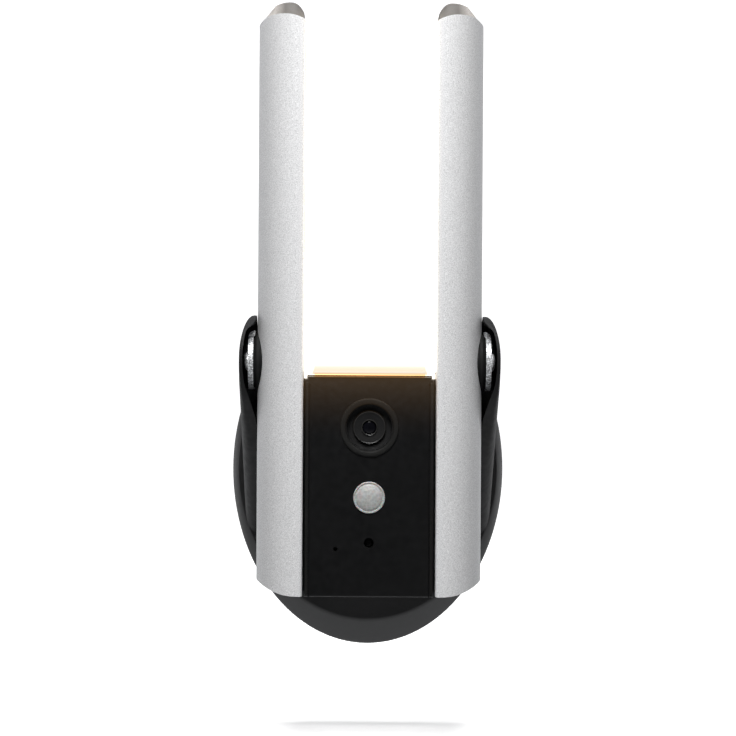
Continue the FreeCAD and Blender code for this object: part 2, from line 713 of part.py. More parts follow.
def wing_foot(name):
    """Closing plate just inside the wing's lower end."""
    plate = wing_column(f"{name}_plate", dim.wing_wall + 0.2,
                        (-dim.head_low + 7, -dim.head_low + 7 + dim.bottom_cap_depth))
    trim = block(f"{name}_trim", (dim.wing_inner - 1, dim.wing_outer),
                 (dim.head_back - 1, dim.housing_front + dim.seal_depth + dim.frame_depth),
                 (-dim.head_low, 0.0))
    return cut(f"{name}_solid", plate.body, [trim])


SCREW_ROWS = (-38.0, 72.0, 182.0)
SCREW_SIDE = 35.0


def housing_corners():
    """Ribs that thicken the tray's two lower side corners, and the wedges that bevel them."""
    reach = dim.corner_bevel
    ribs, wedges = [], []
    for number, side in enumerate((-1, 1)):
        near = (dim.housing_half - reach) * side
        far = (dim.housing_half - 1) * side
        low_side, high_side = (far, near) if side < 0 else (near, far)
        ribs.append(block(f"corner_rib_{number}", (low_side, high_side),
                          (dim.head_back + dim.housing_round, dim.housing_front - 1),
                          (-dim.housing_low + 1, -dim.housing_low + reach)))
        part = Body(f"corner_wedge_{number}")
        face = part.sketch("XZ_Plane", dim.housing_front + 1)
        edge = (dim.housing_half + 1) * side
        outline(face, ((edge, -dim.housing_low - 1), (edge, -dim.housing_low + reach),
                       ((dim.housing_half - reach - 1) * side, -dim.housing_low - 1)))
        part.pad(face, dim.housing_front - dim.head_back + 2, back=True)
        wedges.append(part.body)
    return ribs, wedges


def rear_housing():
    """Deep rear tray of the head, with screw posts, cooling grooves and a speaker grille."""
    part = Body("rear_housing_body")
    depth = dim.housing_front - dim.head_back
    back = part.sketch("XZ_Plane", dim.head_back)
    rectangle(back, -dim.housing_half, dim.housing_half, -dim.housing_low, dim.housing_top)
    part.pad(back, depth)
    part.fillet(dim.housing_round, lambda e: lies_at(e, 1, -dim.head_back.value))
    room = part.sketch("XZ_Plane", dim.housing_front)
    inner = dim.housing_half - dim.housing_wall
    rectangle(room, -inner, inner, -dim.housing_low + dim.housing_wall,
              dim.housing_top - dim.housing_wall)
    part.pocket(room, depth - dim.housing_wall)
    part.fillet(dim.housing_round - dim.housing_wall,
                lambda e: lies_at(e, 1, -(dim.head_back + dim.housing_wall).value))
    posts = part.sketch("XZ_Plane", dim.housing_front)
    for side in (-SCREW_SIDE, SCREW_SIDE):
        for up in SCREW_ROWS:
            disc(posts, side, up, 3.8)
    part.pad(posts, depth - 1, back=True)
    bores = part.sketch("XZ_Plane", dim.housing_front)
    for side in (-SCREW_SIDE, SCREW_SIDE):
        for up in SCREW_ROWS:
            disc(bores, side, up, 1.7)
    part.pocket(bores, depth + 1)
    sinks = part.sketch("XZ_Plane", dim.head_back - 1)
    for side in (-SCREW_SIDE, SCREW_SIDE):
        for up in SCREW_ROWS:
            disc(sinks, side, up, 3.1)
    part.pocket(sinks, 3.0, back=True)
    grooves = part.sketch("XZ_Plane", dim.head_back - 1)
    for number in range(9):
        middle = (number - 4) * 6.0
        rectangle(grooves, middle - 1.5, middle + 1.5, 98.0, 180.0)
    part.pocket(grooves, 2.2, back=True)
    grille = part.sketch("XZ_Plane", dim.head_back - 1)
    disc(grille, 0.0, dim.speaker_up, 0.9)
    for radius, count in ((4.0, 6), (8.0, 12)):
        for number in range(count):
            angle = 2 * math.pi * number / count
            disc(grille, radius * math.cos(angle), dim.speaker_up + radius * math.sin(angle), 0.9)
    part.pocket(grille, 4.0, back=True)
    lead = part.sketch("XZ_Plane", dim.head_back - 1)
    disc(lead, 0.0, 86.0, 5.0)
    part.pocket(lead, 5.0, back=True)
    shell = part.body
    pivots = [rod(f"housing_pivot_{axis}", (0.0, dim.pivot_out, dim.pivot_up),
                  dim.pivot_radius + 0.1, dim.housing_half + 1, axis) for axis in ("X", "-X")]
    below = (-dim.housing_low - 1, -dim.housing_low + dim.housing_wall + 1)
    card = block("housing_card_slot", (dim.card_side - 7, dim.card_side + 7),
                 (dim.button_out - 1.5, dim.button_out + 1.5), below)
    button = rod("housing_button_hole", (dim.button_side, dim.button_out, -dim.housing_low - 1),
                 dim.button_radius + 0.3, 5.0, "Z")
    lugs = [block(f"housing_lug_{n}", (side * 15.0 - 3, side * 15.0 + 3),
                  (dim.door_back - 3.4, dim.door_back), (-dim.housing_low - 1.9, -dim.housing_low))
            for n, side in enumerate((-1, 1))]
    pin_hole = rod("housing_pin_hole", (-20.0, dim.door_back - 1.7, -dim.housing_low - 1.0),
                   dim.door_pin_radius, 40.0, "X")
    gap = block("housing_lug_gap", (-12.0, 12.0), (dim.door_back - 4, dim.door_back + 0.2),
                (-dim.housing_low - 3, -dim.housing_low + 1.2))
    ribs, corners = housing_corners()
    whole = fuse("housing_with_lugs", [shell] + lugs + ribs)
    node(cut("rear_housing_solid", whole, pivots + [card, button, pin_hole, gap] + corners),
         "rear_housing")


def cornered(sketch, half, low, high, bevel):
    """Upright rectangle with its two lower corners bevelled."""
    outline(sketch, ((-half + bevel, low), (half - bevel, low), (half, low + bevel),
                     (half, high), (-half, high), (-half, low + bevel)))


def front_frame():
    """Chassis plate that carries the diffuser and the camera panel, with a window for each."""
    part = Body("front_frame_body")
    back = dim.housing_front + dim.seal_depth
    plate = part.sketch("XZ_Plane", back)
    cornered(plate, dim.housing_half, -dim.housing_low, dim.housing_top, dim.corner_bevel)
    part.pad(plate, dim.frame_depth)
    windows = part.sketch("XZ_Plane", back + dim.frame_depth)
    rectangle(windows, -24.0, 24.0, dim.light_low + 4, dim.housing_top - 5)
    rectangle(windows, -23.0, 23.0, -dim.housing_low + 5, dim.light_low - 4)
    part.pocket(windows, dim.frame_depth)
    holes = part.sketch("XZ_Plane", back + dim.frame_depth)
    for side in (-SCREW_SIDE, SCREW_SIDE):
        for up in SCREW_ROWS:
            disc(holes, side, up, 1.55)
    part.pocket(holes, dim.frame_depth)
    node(part.body, "front_frame")


def housing_seal():
    """Silicone ring between the rear tray and the chassis plate."""
    part = Body("housing_seal_body")
    ring = part.sketch("XZ_Plane", dim.housing_front)
    cornered(ring, dim.housing_half - 0.3, -dim.housing_low + 0.3, dim.housing_top - 0.3, 2.4)
    part.pad(ring, dim.seal_depth)
    room = part.sketch("XZ_Plane", dim.housing_front + dim.seal_depth)
    inner = dim.housing_half - dim.housing_wall
    rectangle(room, -inner, inner, -dim.housing_low + dim.housing_wall,
              dim.housing_top - dim.housing_wall)
    part.pocket(room, dim.seal_depth)
    node(part.body, "housing_seal")


def housing_screws():
    """Six long screws through the rear tray's posts into the chassis plate."""
    screws = []
    for column, side in enumerate((-SCREW_SIDE, SCREW_SIDE)):
        for row, up in enumerate(SCREW_ROWS):
            head = rod(f"housing_screw_head_{column}_{row}", (side, dim.head_back + 0.2, up), 2.8, 1.8)
            shank = rod(f"housing_screw_shank_{column}_{row}", (side, dim.head_back + 0.2, up), 1.5,
                        dim.housing_front - dim.head_back + dim.seal_depth + 2.4)
            screws.append(fuse(f"housing_screw_{column}_{row}", [head, shank]))
    node(group("housing_screws_group", screws), "housing_screws")


# ---------------------------------------------------------------- lamp head: light

def light_diffuser():
    """Milky cover of the light: a tall box with rounded front edges, open at the back."""
    part = Body("light_diffuser_body")
    back = dim.housing_front + dim.seal_depth + dim.frame_depth
    face = part.sketch("XZ_Plane", back)
    rectangle(face, -dim.light_half, dim.light_half, dim.light_low, dim.light_top)
    part.pad(face, dim.light_front - back)
    part.fillet(dim.light_round, lambda e: lies_at(e, 1, -dim.light_front.value))
    room = part.sketch("XZ_Plane", back)
    inner = dim.light_half - dim.light_wall
    rectangle(room, -inner, inner, dim.light_low + dim.light_wall, dim.light_top - dim.light_wall)
    part.pocket(room, dim.light_front - back - dim.light_wall, back=True)
    node(part.body, "light_diffuser")


def light_reflector():
    """White frame round the light-emitting diodes."""
    part = Body("light_reflector_body")
    back = dim.housing_front + dim.seal_depth + dim.frame_depth
    outer = part.sketch("XZ_Plane", back)
    half = dim.light_half - dim.light_wall - 0.3
    low = dim.light_low + dim.light_wall + 0.3
    high = dim.light_top - dim.light_wall - 0.3
    rectangle(outer, -half, half, low, high)
    part.pad(outer, 4.0)
    inner = part.sketch("XZ_Plane", back + 4)
    rectangle(inner, -half + 2, half - 2, low + 3, high - 9)
    part.pocket(inner, 4.0)
    part.chamfer(1.4, lambda e: lies_at(e, 1, -(back + 4).value)
                 and e.BoundBox.XMax < half.value - 1 and e.BoundBox.XMin > -half.value + 1)
    node(part.body, "light_reflector")


def led_board():
    """Aluminium-backed board in the chassis window, and its rows of diodes."""
    back = dim.housing_front + dim.seal_depth
    low = dim.light_low + 5
    high = dim.housing_top - 6
    node(block("led_board_solid", (-23.0, 23.0), (back, back + dim.board_depth), (low, high)),
         "led_board")
    diodes = []
    for column in range(4):
        for row in range(12):
            side = (column - 1.5) * dim.led_step
            up = low + 8 + row * dim.led_step
            diodes.append(block(f"led_{column}_{row}",
                                (side - dim.led_across / 2, side + dim.led_across / 2),
                                (back + dim.board_depth, back + dim.board_depth + dim.led_depth),
                                (up, up + dim.led_up)))
    node(group("led_emitters_group", diodes), "led_emitters")


def heat_sink():
    """Finned aluminium plate behind the diode board."""
    front = dim.housing_front + dim.seal_depth
    low = dim.light_low + 2
    high = dim.housing_top - 4
    plate = block("sink_plate_solid", (-29.0, 29.0), (front - dim.sink_plate, front), (low, high))
    fins = [block(f"sink_fin_{n}", ((n - 4.5) * 6.0 - dim.fin_depth / 2,
                                    (n - 4.5) * 6.0 + dim.fin_depth / 2),
                  (front - dim.sink_depth, front - 1), (low, high)) for n in range(10)]
    node(fuse("heat_sink_solid", [plate] + fins), "heat_sink")


# ---------------------------------------------------------------- lamp head: camera

def camera_panel():
    """Black front panel: stepped top corners, side rails, holes for lens, sensor and sound."""
    part = Body("camera_panel_body")
    back = dim.housing_front + dim.seal_depth + dim.frame_depth
    half = dim.light_half
    face = part.sketch("XZ_Plane", back)
    corner = dim.panel_corner
    outline(face, ((-half, -dim.head_low), (half, -dim.head_low), (half, dim.panel_top - corner),
                   (half - corner, dim.panel_top - corner), (half - corner, dim.panel_top),
                   (-half + corner, dim.panel_top), (-half + corner, dim.panel_top - corner),
                   (-half, dim.panel_top - corner)))
    part.pad(face, dim.panel_front - back)
    rails = part.sketch("XZ_Plane", dim.panel_front)
    for side in (-1, 1):
        middle = side * (half - 1.6)
        rectangle(rails, middle - 0.35, middle + 0.35, -dim.head_low - 1, dim.panel_top - 3)
    part.pocket(rails, 1.0)
    room = part.sketch("XZ_Plane", back)
    rectangle(room, -half + 2.4, half - 2.4, -dim.head_low + 2.4, dim.panel_top - 2.4)
    part.pocket(room, dim.panel_front - back - dim.panel_depth, back=True)
    holes = part.sketch("XZ_Plane", dim.panel_front)
    disc(holes, 0.0, dim.camera_up, dim.bezel_radius - 1)
    disc(holes, 0.0, dim.motion_up, dim.motion_radius - 0.6)
    disc(holes, 0.0, dim.status_up, dim.status_radius)
    disc(holes, -dim.pinhole_side, dim.pinhole_up, dim.pinhole_radius)
    part.pocket(holes, 9.0)
    node(part.body, "camera_panel")


def lens_bezel():
    """Ring round the camera's lens, funnel-shaped inside."""
    panel = dim.panel_front
    ring = rod("bezel_rim", (0.0, panel, dim.camera_up), dim.bezel_radius, 0.9)
    neck = rod("bezel_neck", (0.0, panel - 4.6, dim.camera_up), dim.bezel_radius - 1.1, 5.0)
    funnel = taper("bezel_funnel", (0.0, panel - 3.6, dim.camera_up),
                   (dim.barrel_radius + 0.3, dim.window_radius), 4.5)
    throat = rod("bezel_throat", (0.0, panel - 6, dim.camera_up), dim.barrel_radius + 0.3, 4.0)
    node(cut("lens_bezel_solid", fuse("bezel_outer", [ring, neck]), [funnel, throat]),
         "lens_bezel")


def camera_module():
    """Lens barrel with its front glass, the square holder and the image sensor."""
    board = dim.main_board_out + dim.board_depth
    up = dim.camera_up
    barrel = rod("barrel_outer", (0.0, board + 5, up), dim.barrel_radius,
                 dim.panel_front - 1.8 - board - 5)
    mouth = taper("barrel_mouth", (0.0, dim.panel_front - 5, up),
                  (dim.iris_radius, dim.barrel_radius - 1), 3.4)
    tunnel = rod("barrel_tunnel", (0.0, board, up), dim.iris_radius, 16.0)
    node(cut("lens_barrel_solid", barrel, [mouth, tunnel]), "lens_barrel")
    node(rod("lens_glass_solid", (0.0, dim.panel_front - 6.4, up), dim.iris_radius - 0.02, 1.5),
         "lens_glass")
    holder = block("holder_outer", (-8.0, 8.0), (board, board + 5), (up - 8, up + 8))
    window = block("holder_room", (-5.0, 5.0), (board - 1, board + 9), (up - 5, up + 5))
    node(cut("lens_holder_solid", holder, [window]), "lens_holder")
    node(block("image_sensor_solid", (-4.0, 4.0), (board, board + 1.2), (up - 4, up + 4)),
         "image_sensor")


def motion_sensor():
    """Domed Fresnel lens in the panel, and the metal can of the infrared sensor behind it."""
    panel = dim.panel_front
    up = dim.motion_up
    rim = rod("motion_rim", (0.0, panel, up), dim.motion_radius, 0.8)
    crown = taper("motion_crown", (0.0, panel + 0.8, up),
                  (dim.motion_radius - 0.7, dim.motion_radius * 0.5), 1.4)
    neck = rod("motion_neck", (0.0, panel - 2.5, up), dim.motion_radius - 0.7, 2.6)
    hollow = rod("motion_hollow", (0.0, panel - 3, up), dim.motion_radius - 1.6, 3.4)
    node(cut("motion_lens_solid", fuse("motion_outer", [rim, crown, neck]), [hollow]),
         "motion_lens")
    board = dim.main_board_out + dim.board_depth
    can = rod("motion_can", (0.0, board, up), 4.1, 4.2)
    flange = rod("motion_flange", (0.0, board, up), 4.6, 0.6)
    node(fuse("motion_sensor_solid", [can, flange]), "motion_sensor")


def small_sensors():
    """Light pipe of the status light, and the microphone behind its pinhole."""
    board = dim.main_board_out + dim.board_depth
    pipe = rod("status_pipe", (0.0, board + 0.8, dim.status_up), dim.status_radius - 0.1,
               dim.panel_front - 1.0 - board - 0.8)
    collar = rod("status_collar", (0.0, board + 0.8, dim.status_up), dim.status_radius + 1, 2.0)
    node(fuse("status_light_pipe_solid", [pipe, collar]), "status_light_pipe")
    boot = rod("microphone_sleeve", (-dim.pinhole_side, board, dim.pinhole_up), 3.0,
               dim.panel_front - dim.panel_depth - board)
    bore = rod("microphone_bore", (-dim.pinhole_side, board + 2.2, dim.pinhole_up), 0.9, 12.0)
    pit = rod("microphone_pit", (-dim.pinhole_side, board - 1, dim.pinhole_up), 2.0, 3.2)
    node(cut("microphone_boot_solid", boot, [bore, pit]), "microphone_boot")
    node(rod("microphone_solid", (-dim.pinhole_side, board, dim.pinhole_up), 1.95, 1.5),
         "microphone")


def main_board():
    """Camera and network board behind the panel, its radio module, and the antenna."""
    out = dim.main_board_out
    board = block("main_board_plate", (-24.0, 24.0), (out, out + dim.board_depth), (-46.0, 38.0))
    holes = [rod(f"main_board_hole_{n}", (x, out - 1, z), 1.3, 5.0)
             for n, (x, z) in enumerate(((-21.0, -43.0), (21.0, -43.0), (-21.0, 35.0), (21.0, 35.0)))]
    node(cut("main_board_solid", board, holes), "main_board")
    node(block("radio_module_solid", (2.0, 20.0), (out - 2.8, out), (-12.0, 12.0)), "radio_module")
    node(block("antenna_solid", (-40.4, -39.6), (out - 13, out - 5), (110.0, 150.0)),
         "antenna")


def power_supply():
    """Mains power board in the rear tray, with its transformer, capacitors and fuse."""
    out = dim.power_board_out
    board = out + dim.board_depth
    node(block("power_board_solid", (-26.0, 26.0), (out, board), (-2.0, 40.0)), "power_board")
    node(block("transformer_solid", (-22.0, -4.0), (board, board + 10.5), (2.0, 22.0)),
         "transformer")
    caps = [rod(f"capacitor_{n}", (x, board + 4.2, 2.0), 4.0, 16.0, "Z")
            for n, x in enumerate((4.0, 14.0))]
    node(group("capacitors_group", caps), "capacitors")
    node(rod("fuse_solid", (-20.0, board + 3.2, 30.0), 2.6, 20.0, "X"), "fuse")
    legs = [block(f"power_leg_{n}_{m}", (x * 22.0 - 1.6, x * 22.0 + 1.6),
                  (dim.head_back + dim.housing_wall, out), (z, z + 3.2))
            for n, x in enumerate((-1, 1)) for m, z in enumerate((0.0, 34.0))]
    node(group("power_board_legs_group", legs), "power_board_legs")


def speaker():
    """Round speaker behind the grille in the rear tray."""
    back = dim.head_back + dim.housing_wall
    frame = rod("speaker_frame", (0.0, back, dim.speaker_up), dim.speaker_radius, 3.0)
    cone_room = taper("speaker_cone_room", (0.0, back - 0.5, dim.speaker_up), (12.0, 7.0), 2.6)
    magnet = rod("speaker_magnet", (0.0, back + 3, dim.speaker_up), 8.0, 4.5)
    node(cut("speaker_solid", fuse("speaker_outer", [frame, magnet]), [cone_room]), "speaker")


# ---------------------------------------------------------------- service door

def card_door():
    """Door in the underside over the memory card and the reset button, and its hinge pin."""
    top = -dim.housing_low - 0.1
    leaf = block("door_leaf", (-dim.door_half, dim.door_half), (dim.door_back + 0.4, dim.door_front),
                 (top - dim.door_depth, top))
    barrel = rod("door_barrel", (-11.5, dim.door_back - 1.7, -dim.housing_low - 1.0),
                 dim.door_knuckle_radius - 0.1, 23.0, "X")
    web = block("door_web", (-11.5, 11.5), (dim.door_back - 1.7, dim.door_back + 1), (top - 1.2, top))
    bore = rod("door_bore", (-20.0, dim.door_back - 1.7, -dim.housing_low - 1.0),
               dim.door_pin_radius + 0.06, 40.0, "X")
    notch = block("door_notch", (-3.0, 3.0), (dim.door_front - 1.2, dim.door_front + 1),
                  (top - dim.door_depth - 1, top - 0.8))
    node(cut("card_door_solid", fuse("door_outer", [leaf, barrel, web]), [bore, notch]),
         "card_door")
    node(rod("door_pin_solid", (-18.0, dim.door_back - 1.7, -dim.housing_low - 1.0),
             dim.door_pin_radius, 36.0, "X"), "door_pin")


def reset_button():
    """Small push button above the door, and the switch that it presses."""
    base = -dim.housing_low + 0.5
    place = (dim.button_side, dim.button_out, base)
    stem = rod("button_stem", place, dim.button_radius, 4.5, "Z")
    collar = rod("button_collar", (dim.button_side, dim.button_out, base + 2.2),
                 dim.button_radius + 0.9, 1.2, "Z")
    node(fuse("reset_button_solid", [stem, collar]), "reset_button")
    switch_base = base + 4.5 + 1.0
    node(block("reset_switch_solid", (dim.button_side - 3, dim.button_side + 3),
               (dim.button_out - 3, dim.button_out + 1.3), (switch_base, switch_base + 3.5)),
         "reset_switch")


def memory_card():
    """Card socket above the door's slot, with the memory card in it."""
    back = dim.button_out - 1.3
    low = -dim.housing_low + dim.housing_wall + 1.5
    socket = block("socket_outer", (dim.card_side - 7, dim.card_side + 7), (back, back + 2.6),
                   (low, low + 15))
    room = block("socket_room", (dim.card_side - 5.6, dim.card_side + 5.6),
                 (back + 0.7, back + 1.7), (low - 1, low + 13.5))
    node(cut("card_socket_solid", socket, [room]), "card_socket")
    node(block("memory_card_solid", (dim.card_side - 5.5, dim.card_side + 5.5),
               (back + 0.8, back + 1.6), (low - 1.6, low + 13.4)), "memory_card")
    node(block("service_board_solid", (-14.0, 14.0), (back + 2.6, back + 2.6 + dim.board_depth),
               (low + 2.4, low + 22)), "service_board")


def check_and_write():
    """Refuse a failed object or shape, then write each sub-part to its own file."""
    doc.recompute()
    for thing in doc.Objects:
        if "Invalid" in thing.State or "Error" in thing.State:
            raise ValueError(f"{thing.Name} failed: {thing.State}")
    os.makedirs("parts", exist_ok=True)
    for thing in nodes:
        if thing.Shape.isNull() or not thing.Shape.isValid():
            raise ValueError(f"{thing.Label} has no valid shape")
        thing.Shape.exportStep(f"parts/{thing.Label}.step")
        box = thing.Shape.BoundBox
        print(f"{thing.Label}: {len(thing.Shape.Solids)} solid(s), "
              f"{box.XLength:.1f} x {box.YLength:.1f} x {box.ZLength:.1f}")


wall_gasket()
base_shell()
wall_plate()
cable_grommet()
base_screws()
terminal_block()
lead_glands()
both_sides(arm, "arm")
both_sides(pivot_tab, "pivot_tab")
pair(tab_seat, "tab_seat")
pair(tab_screws, "tab_screw")
pair(pivot_screw, "pivot_screw")
pair(pivot_spacer, "pivot_spacer")
pair(pivot_nut, "pivot_nut")
pair(pivot_hub, "pivot_hub")
both_sides(wing, "wing")
both_sides(wing_cap, "wing_cap")
pair(wing_foot, "wing_end_plate")
rear_housing()
front_frame()
housing_seal()
housing_screws()
light_diffuser()
light_reflector()
led_board()
heat_sink()
camera_panel()
lens_bezel()
camera_module()
motion_sensor()
small_sensors()
main_board()
power_supply()
speaker()
card_door()
reset_button()
memory_card()
check_and_write()
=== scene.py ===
import json
import math

import bmesh
import bpy
from mathutils import Matrix, Vector


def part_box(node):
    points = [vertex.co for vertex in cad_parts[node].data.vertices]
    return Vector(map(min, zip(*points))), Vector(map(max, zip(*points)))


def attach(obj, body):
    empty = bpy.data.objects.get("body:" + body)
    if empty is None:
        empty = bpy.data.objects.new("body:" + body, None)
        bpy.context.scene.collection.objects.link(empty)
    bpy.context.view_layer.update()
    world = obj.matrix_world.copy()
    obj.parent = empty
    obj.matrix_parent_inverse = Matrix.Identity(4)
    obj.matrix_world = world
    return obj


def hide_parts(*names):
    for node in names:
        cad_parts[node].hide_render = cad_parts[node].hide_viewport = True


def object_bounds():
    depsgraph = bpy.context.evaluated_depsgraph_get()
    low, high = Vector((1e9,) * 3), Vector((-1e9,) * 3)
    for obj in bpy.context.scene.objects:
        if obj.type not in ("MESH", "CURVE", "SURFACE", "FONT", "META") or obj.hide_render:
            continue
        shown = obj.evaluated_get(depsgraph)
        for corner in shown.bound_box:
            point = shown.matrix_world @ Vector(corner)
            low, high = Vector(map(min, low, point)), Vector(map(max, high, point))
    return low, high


# Looks of a floodlight security camera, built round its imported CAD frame.
# Metres, +Z up, the wall at Y = 0 and the front towards -Y.  Lengths below are
# written in millimetres and multiplied by MM.

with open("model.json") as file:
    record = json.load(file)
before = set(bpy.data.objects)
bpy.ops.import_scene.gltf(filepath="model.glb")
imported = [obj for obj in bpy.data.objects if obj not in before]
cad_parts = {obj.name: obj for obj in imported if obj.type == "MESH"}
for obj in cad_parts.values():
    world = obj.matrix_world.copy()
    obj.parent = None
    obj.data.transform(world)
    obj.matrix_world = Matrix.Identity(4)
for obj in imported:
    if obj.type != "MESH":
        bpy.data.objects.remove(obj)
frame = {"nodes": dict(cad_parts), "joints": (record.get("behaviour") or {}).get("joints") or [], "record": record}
cad_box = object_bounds()

MM = 0.001
HEAD = "lamp_head"
BASE = "wall_base"
SIDES = {"right": 1.0, "left": -1.0}


# ---------------------------------------------------------------- places from the frame

def middle(node):
    """Centre of a CAD node's box."""
    low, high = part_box(node)
    return (low + high) / 2


def at(x, out, z):
    """A point from millimetres across, out from the wall and up."""
    return Vector((x * MM, -out * MM, z * MM))


def clamp(share):
    """Hold a share between 0 and 1."""
    return min(1.0, max(0.0, share))


WING_LOW, WING_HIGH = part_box("right_wing")
CAP_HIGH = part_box("right_wing_cap")[1]
LIGHT_LOW, LIGHT_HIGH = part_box("light_diffuser")
PANEL_LOW, PANEL_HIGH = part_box("camera_panel")
SHELL_LOW, SHELL_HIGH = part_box("base_shell")
TILT = next(j for j in frame["joints"] if j["name"] == "head_tilt")
PIVOT = Vector(TILT["pos_m"])
LENS = middle("lens_bezel")
MOTION = middle("motion_lens")
STATUS = middle("status_light_pipe")
MICROPHONE = middle("microphone")
PANEL_FACE = PANEL_LOW.y

# How far the painted glow that stands in for the lit cover's light reaches: across the wings,
# down the camera section, and the heights between which it begins on the wings.
SPILL_WIDTH = 2.6 * MM
SPILL_DEPTH = 27 * MM
SPILL_START = (40 * MM, 46 * MM)


# ---------------------------------------------------------------- materials

def set_range(node, limits):
    """Set the two ranges of a Map Range node."""
    for socket, limit in zip(("From Min", "From Max", "To Min", "To Max"), limits):
        node.inputs[socket].default_value = limit


class Shader:
    """A Principled material whose procedural nodes read the object's own coordinates."""

    def __init__(self, name, colour, roughness, metallic=0.0):
        self.material = bpy.data.materials.new(name)
        self.material.use_nodes = True
        self.tree = self.material.node_tree
        self.surface = self.tree.nodes["Principled BSDF"]
        self.set(Base_Color=(*colour, 1.0), Roughness=roughness, Metallic=metallic)
        self.colour = colour
        self.place = self.add("ShaderNodeTexCoord").outputs["Object"]
        self.height = None

    def add(self, kind, **values):
        """A new node with its fields set."""
        node = self.tree.nodes.new(kind)
        for field, value in values.items():
            setattr(node, field, value)
        return node

    def link(self, output, socket):
        self.tree.links.new(output, socket)

    def set(self, **values):
        """Set the surface's own sockets; an underscore stands for a space in a name."""
        for field, value in values.items():
            self.surface.inputs[field.replace("_", " ")].default_value = value

    def axes(self, vector):
        """X, Y and Z of a vector."""
        node = self.add("ShaderNodeSeparateXYZ")
        self.link(vector, node.inputs["Vector"])
        return node.outputs

    def facing(self):
        """X, Y and Z of the direction that the surface faces."""
        return self.axes(self.add("ShaderNodeNewGeometry").outputs["Normal"])

    def noise(self, scale, detail=2.0, stretch=None):
        """Noise with features about 1/scale metres across, stretched along an axis if asked."""
        texture = self.add("ShaderNodeTexNoise")
        texture.inputs["Scale"].default_value = scale
        texture.inputs["Detail"].default_value = detail
        source = self.place
        if stretch:
            mapping = self.add("ShaderNodeMapping")
            mapping.inputs["Scale"].default_value = stretch
            self.link(self.place, mapping.inputs["Vector"])
            source = mapping.outputs["Vector"]
        self.link(source, texture.inputs["Vector"])
        return texture.outputs["Fac"]

    def cells(self, scale, feature="F1"):
        """Cells about 1/scale metres across."""
        texture = self.add("ShaderNodeTexVoronoi", feature=feature)
        texture.inputs["Scale"].default_value = scale
        self.link(self.place, texture.inputs["Vector"])
        return texture

    def ramp(self, factor, stops):
        """Colours by factor; stops are (position, colour)."""
        node = self.add("ShaderNodeValToRGB")
        elements = node.color_ramp.elements
        while len(elements) < len(stops):
            elements.new(0.5)
        for element, (position, colour) in zip(elements, stops):
            element.position = position
            element.color = (*colour, 1.0)
        self.link(factor, node.inputs["Fac"])
        return node.outputs["Color"]

    def tint(self, factor, spread, low=0.35, high=0.65):
        """Vary the base colour by a share each way."""
        dark = [c * (1 - spread) for c in self.colour]
        light = [min(1.0, c * (1 + spread)) for c in self.colour]
        colours = self.ramp(factor, ((low, dark), (high, light)))
        self.link(colours, self.surface.inputs["Base Color"])

    def rough(self, factor, low, high):
        """Vary the roughness between two values."""
        result = self.spread(factor, (0.3, 0.7), (low, high))
        self.link(result, self.surface.inputs["Roughness"])

    def spread(self, value, source, target):
        """Map one range onto another, held at its ends."""
        node = self.add("ShaderNodeMapRange")
        set_range(node, (*source, *target))
        self.link(value, node.inputs["Value"])
        return node.outputs["Result"]

    def maths(self, operation, *values):
        """One arithmetic step on linked values."""
        node = self.add("ShaderNodeMath", operation=operation)
        for socket, value in zip(node.inputs, values):
            self.link(value, socket)
        return node.outputs["Value"]

    def bump(self, factor, depth, strength=0.5):
        """Raise the surface by a texture; a second call adds finer relief."""
        node = self.add("ShaderNodeBump")
        node.inputs["Strength"].default_value = strength
        node.inputs["Distance"].default_value = depth
        self.link(factor, node.inputs["Height"])
        if self.height:
            self.link(self.height, node.inputs["Normal"])
        self.height = node.outputs["Normal"]
        self.link(self.height, self.surface.inputs["Normal"])


def clouded_plastic(name, colour, roughness, gloss):
    """Plastic with faint clouds in its colour and roughness, still without relief."""
    shader = Shader(name, colour, roughness)
    shader.set(Specular_IOR_Level=gloss)
    shader.tint(shader.noise(90.0, 3.0), 0.12)
    shader.rough(shader.noise(400.0, 3.0), roughness - 0.05, roughness + 0.06)
    return shader


def grained_plastic(name, colour, roughness, grain=2600.0, depth=0.04, gloss=0.5):
    """Moulded plastic with fine texture and faint clouding."""
    shader = clouded_plastic(name, colour, roughness, gloss)
    shader.bump(shader.noise(grain, 2.0), depth * MM, 0.35)
    return shader.material


def bare_metal(name, colour, roughness, stretch=None):
    """Plated or brushed metal with small scratches, drawn out along an axis if asked."""
    scratches = 900.0
    shader = Shader(name, colour, roughness, 1.0)
    shader.tint(shader.noise(500.0, 4.0), 0.10)
    shader.rough(shader.noise(scratches, 4.0, stretch), roughness - 0.08, roughness + 0.12)
    shader.bump(shader.noise(scratches * 2, 3.0, stretch), 0.02 * MM, 0.25)
    return shader.material


def zinc_plate(name, colour, metallic):
    """Zinc-plated steel: bright and dark crystal flecks on a dull grey ground."""
    shader = Shader(name, colour, 0.5, metallic)
    shader.tint(shader.noise(1500.0, 5.0), 0.55, 0.40, 0.60)
    shader.rough(shader.noise(900.0, 3.0), 0.30, 0.62)
    shader.bump(shader.noise(1300.0, 4.0), 0.10 * MM, 0.6)
    return shader.material


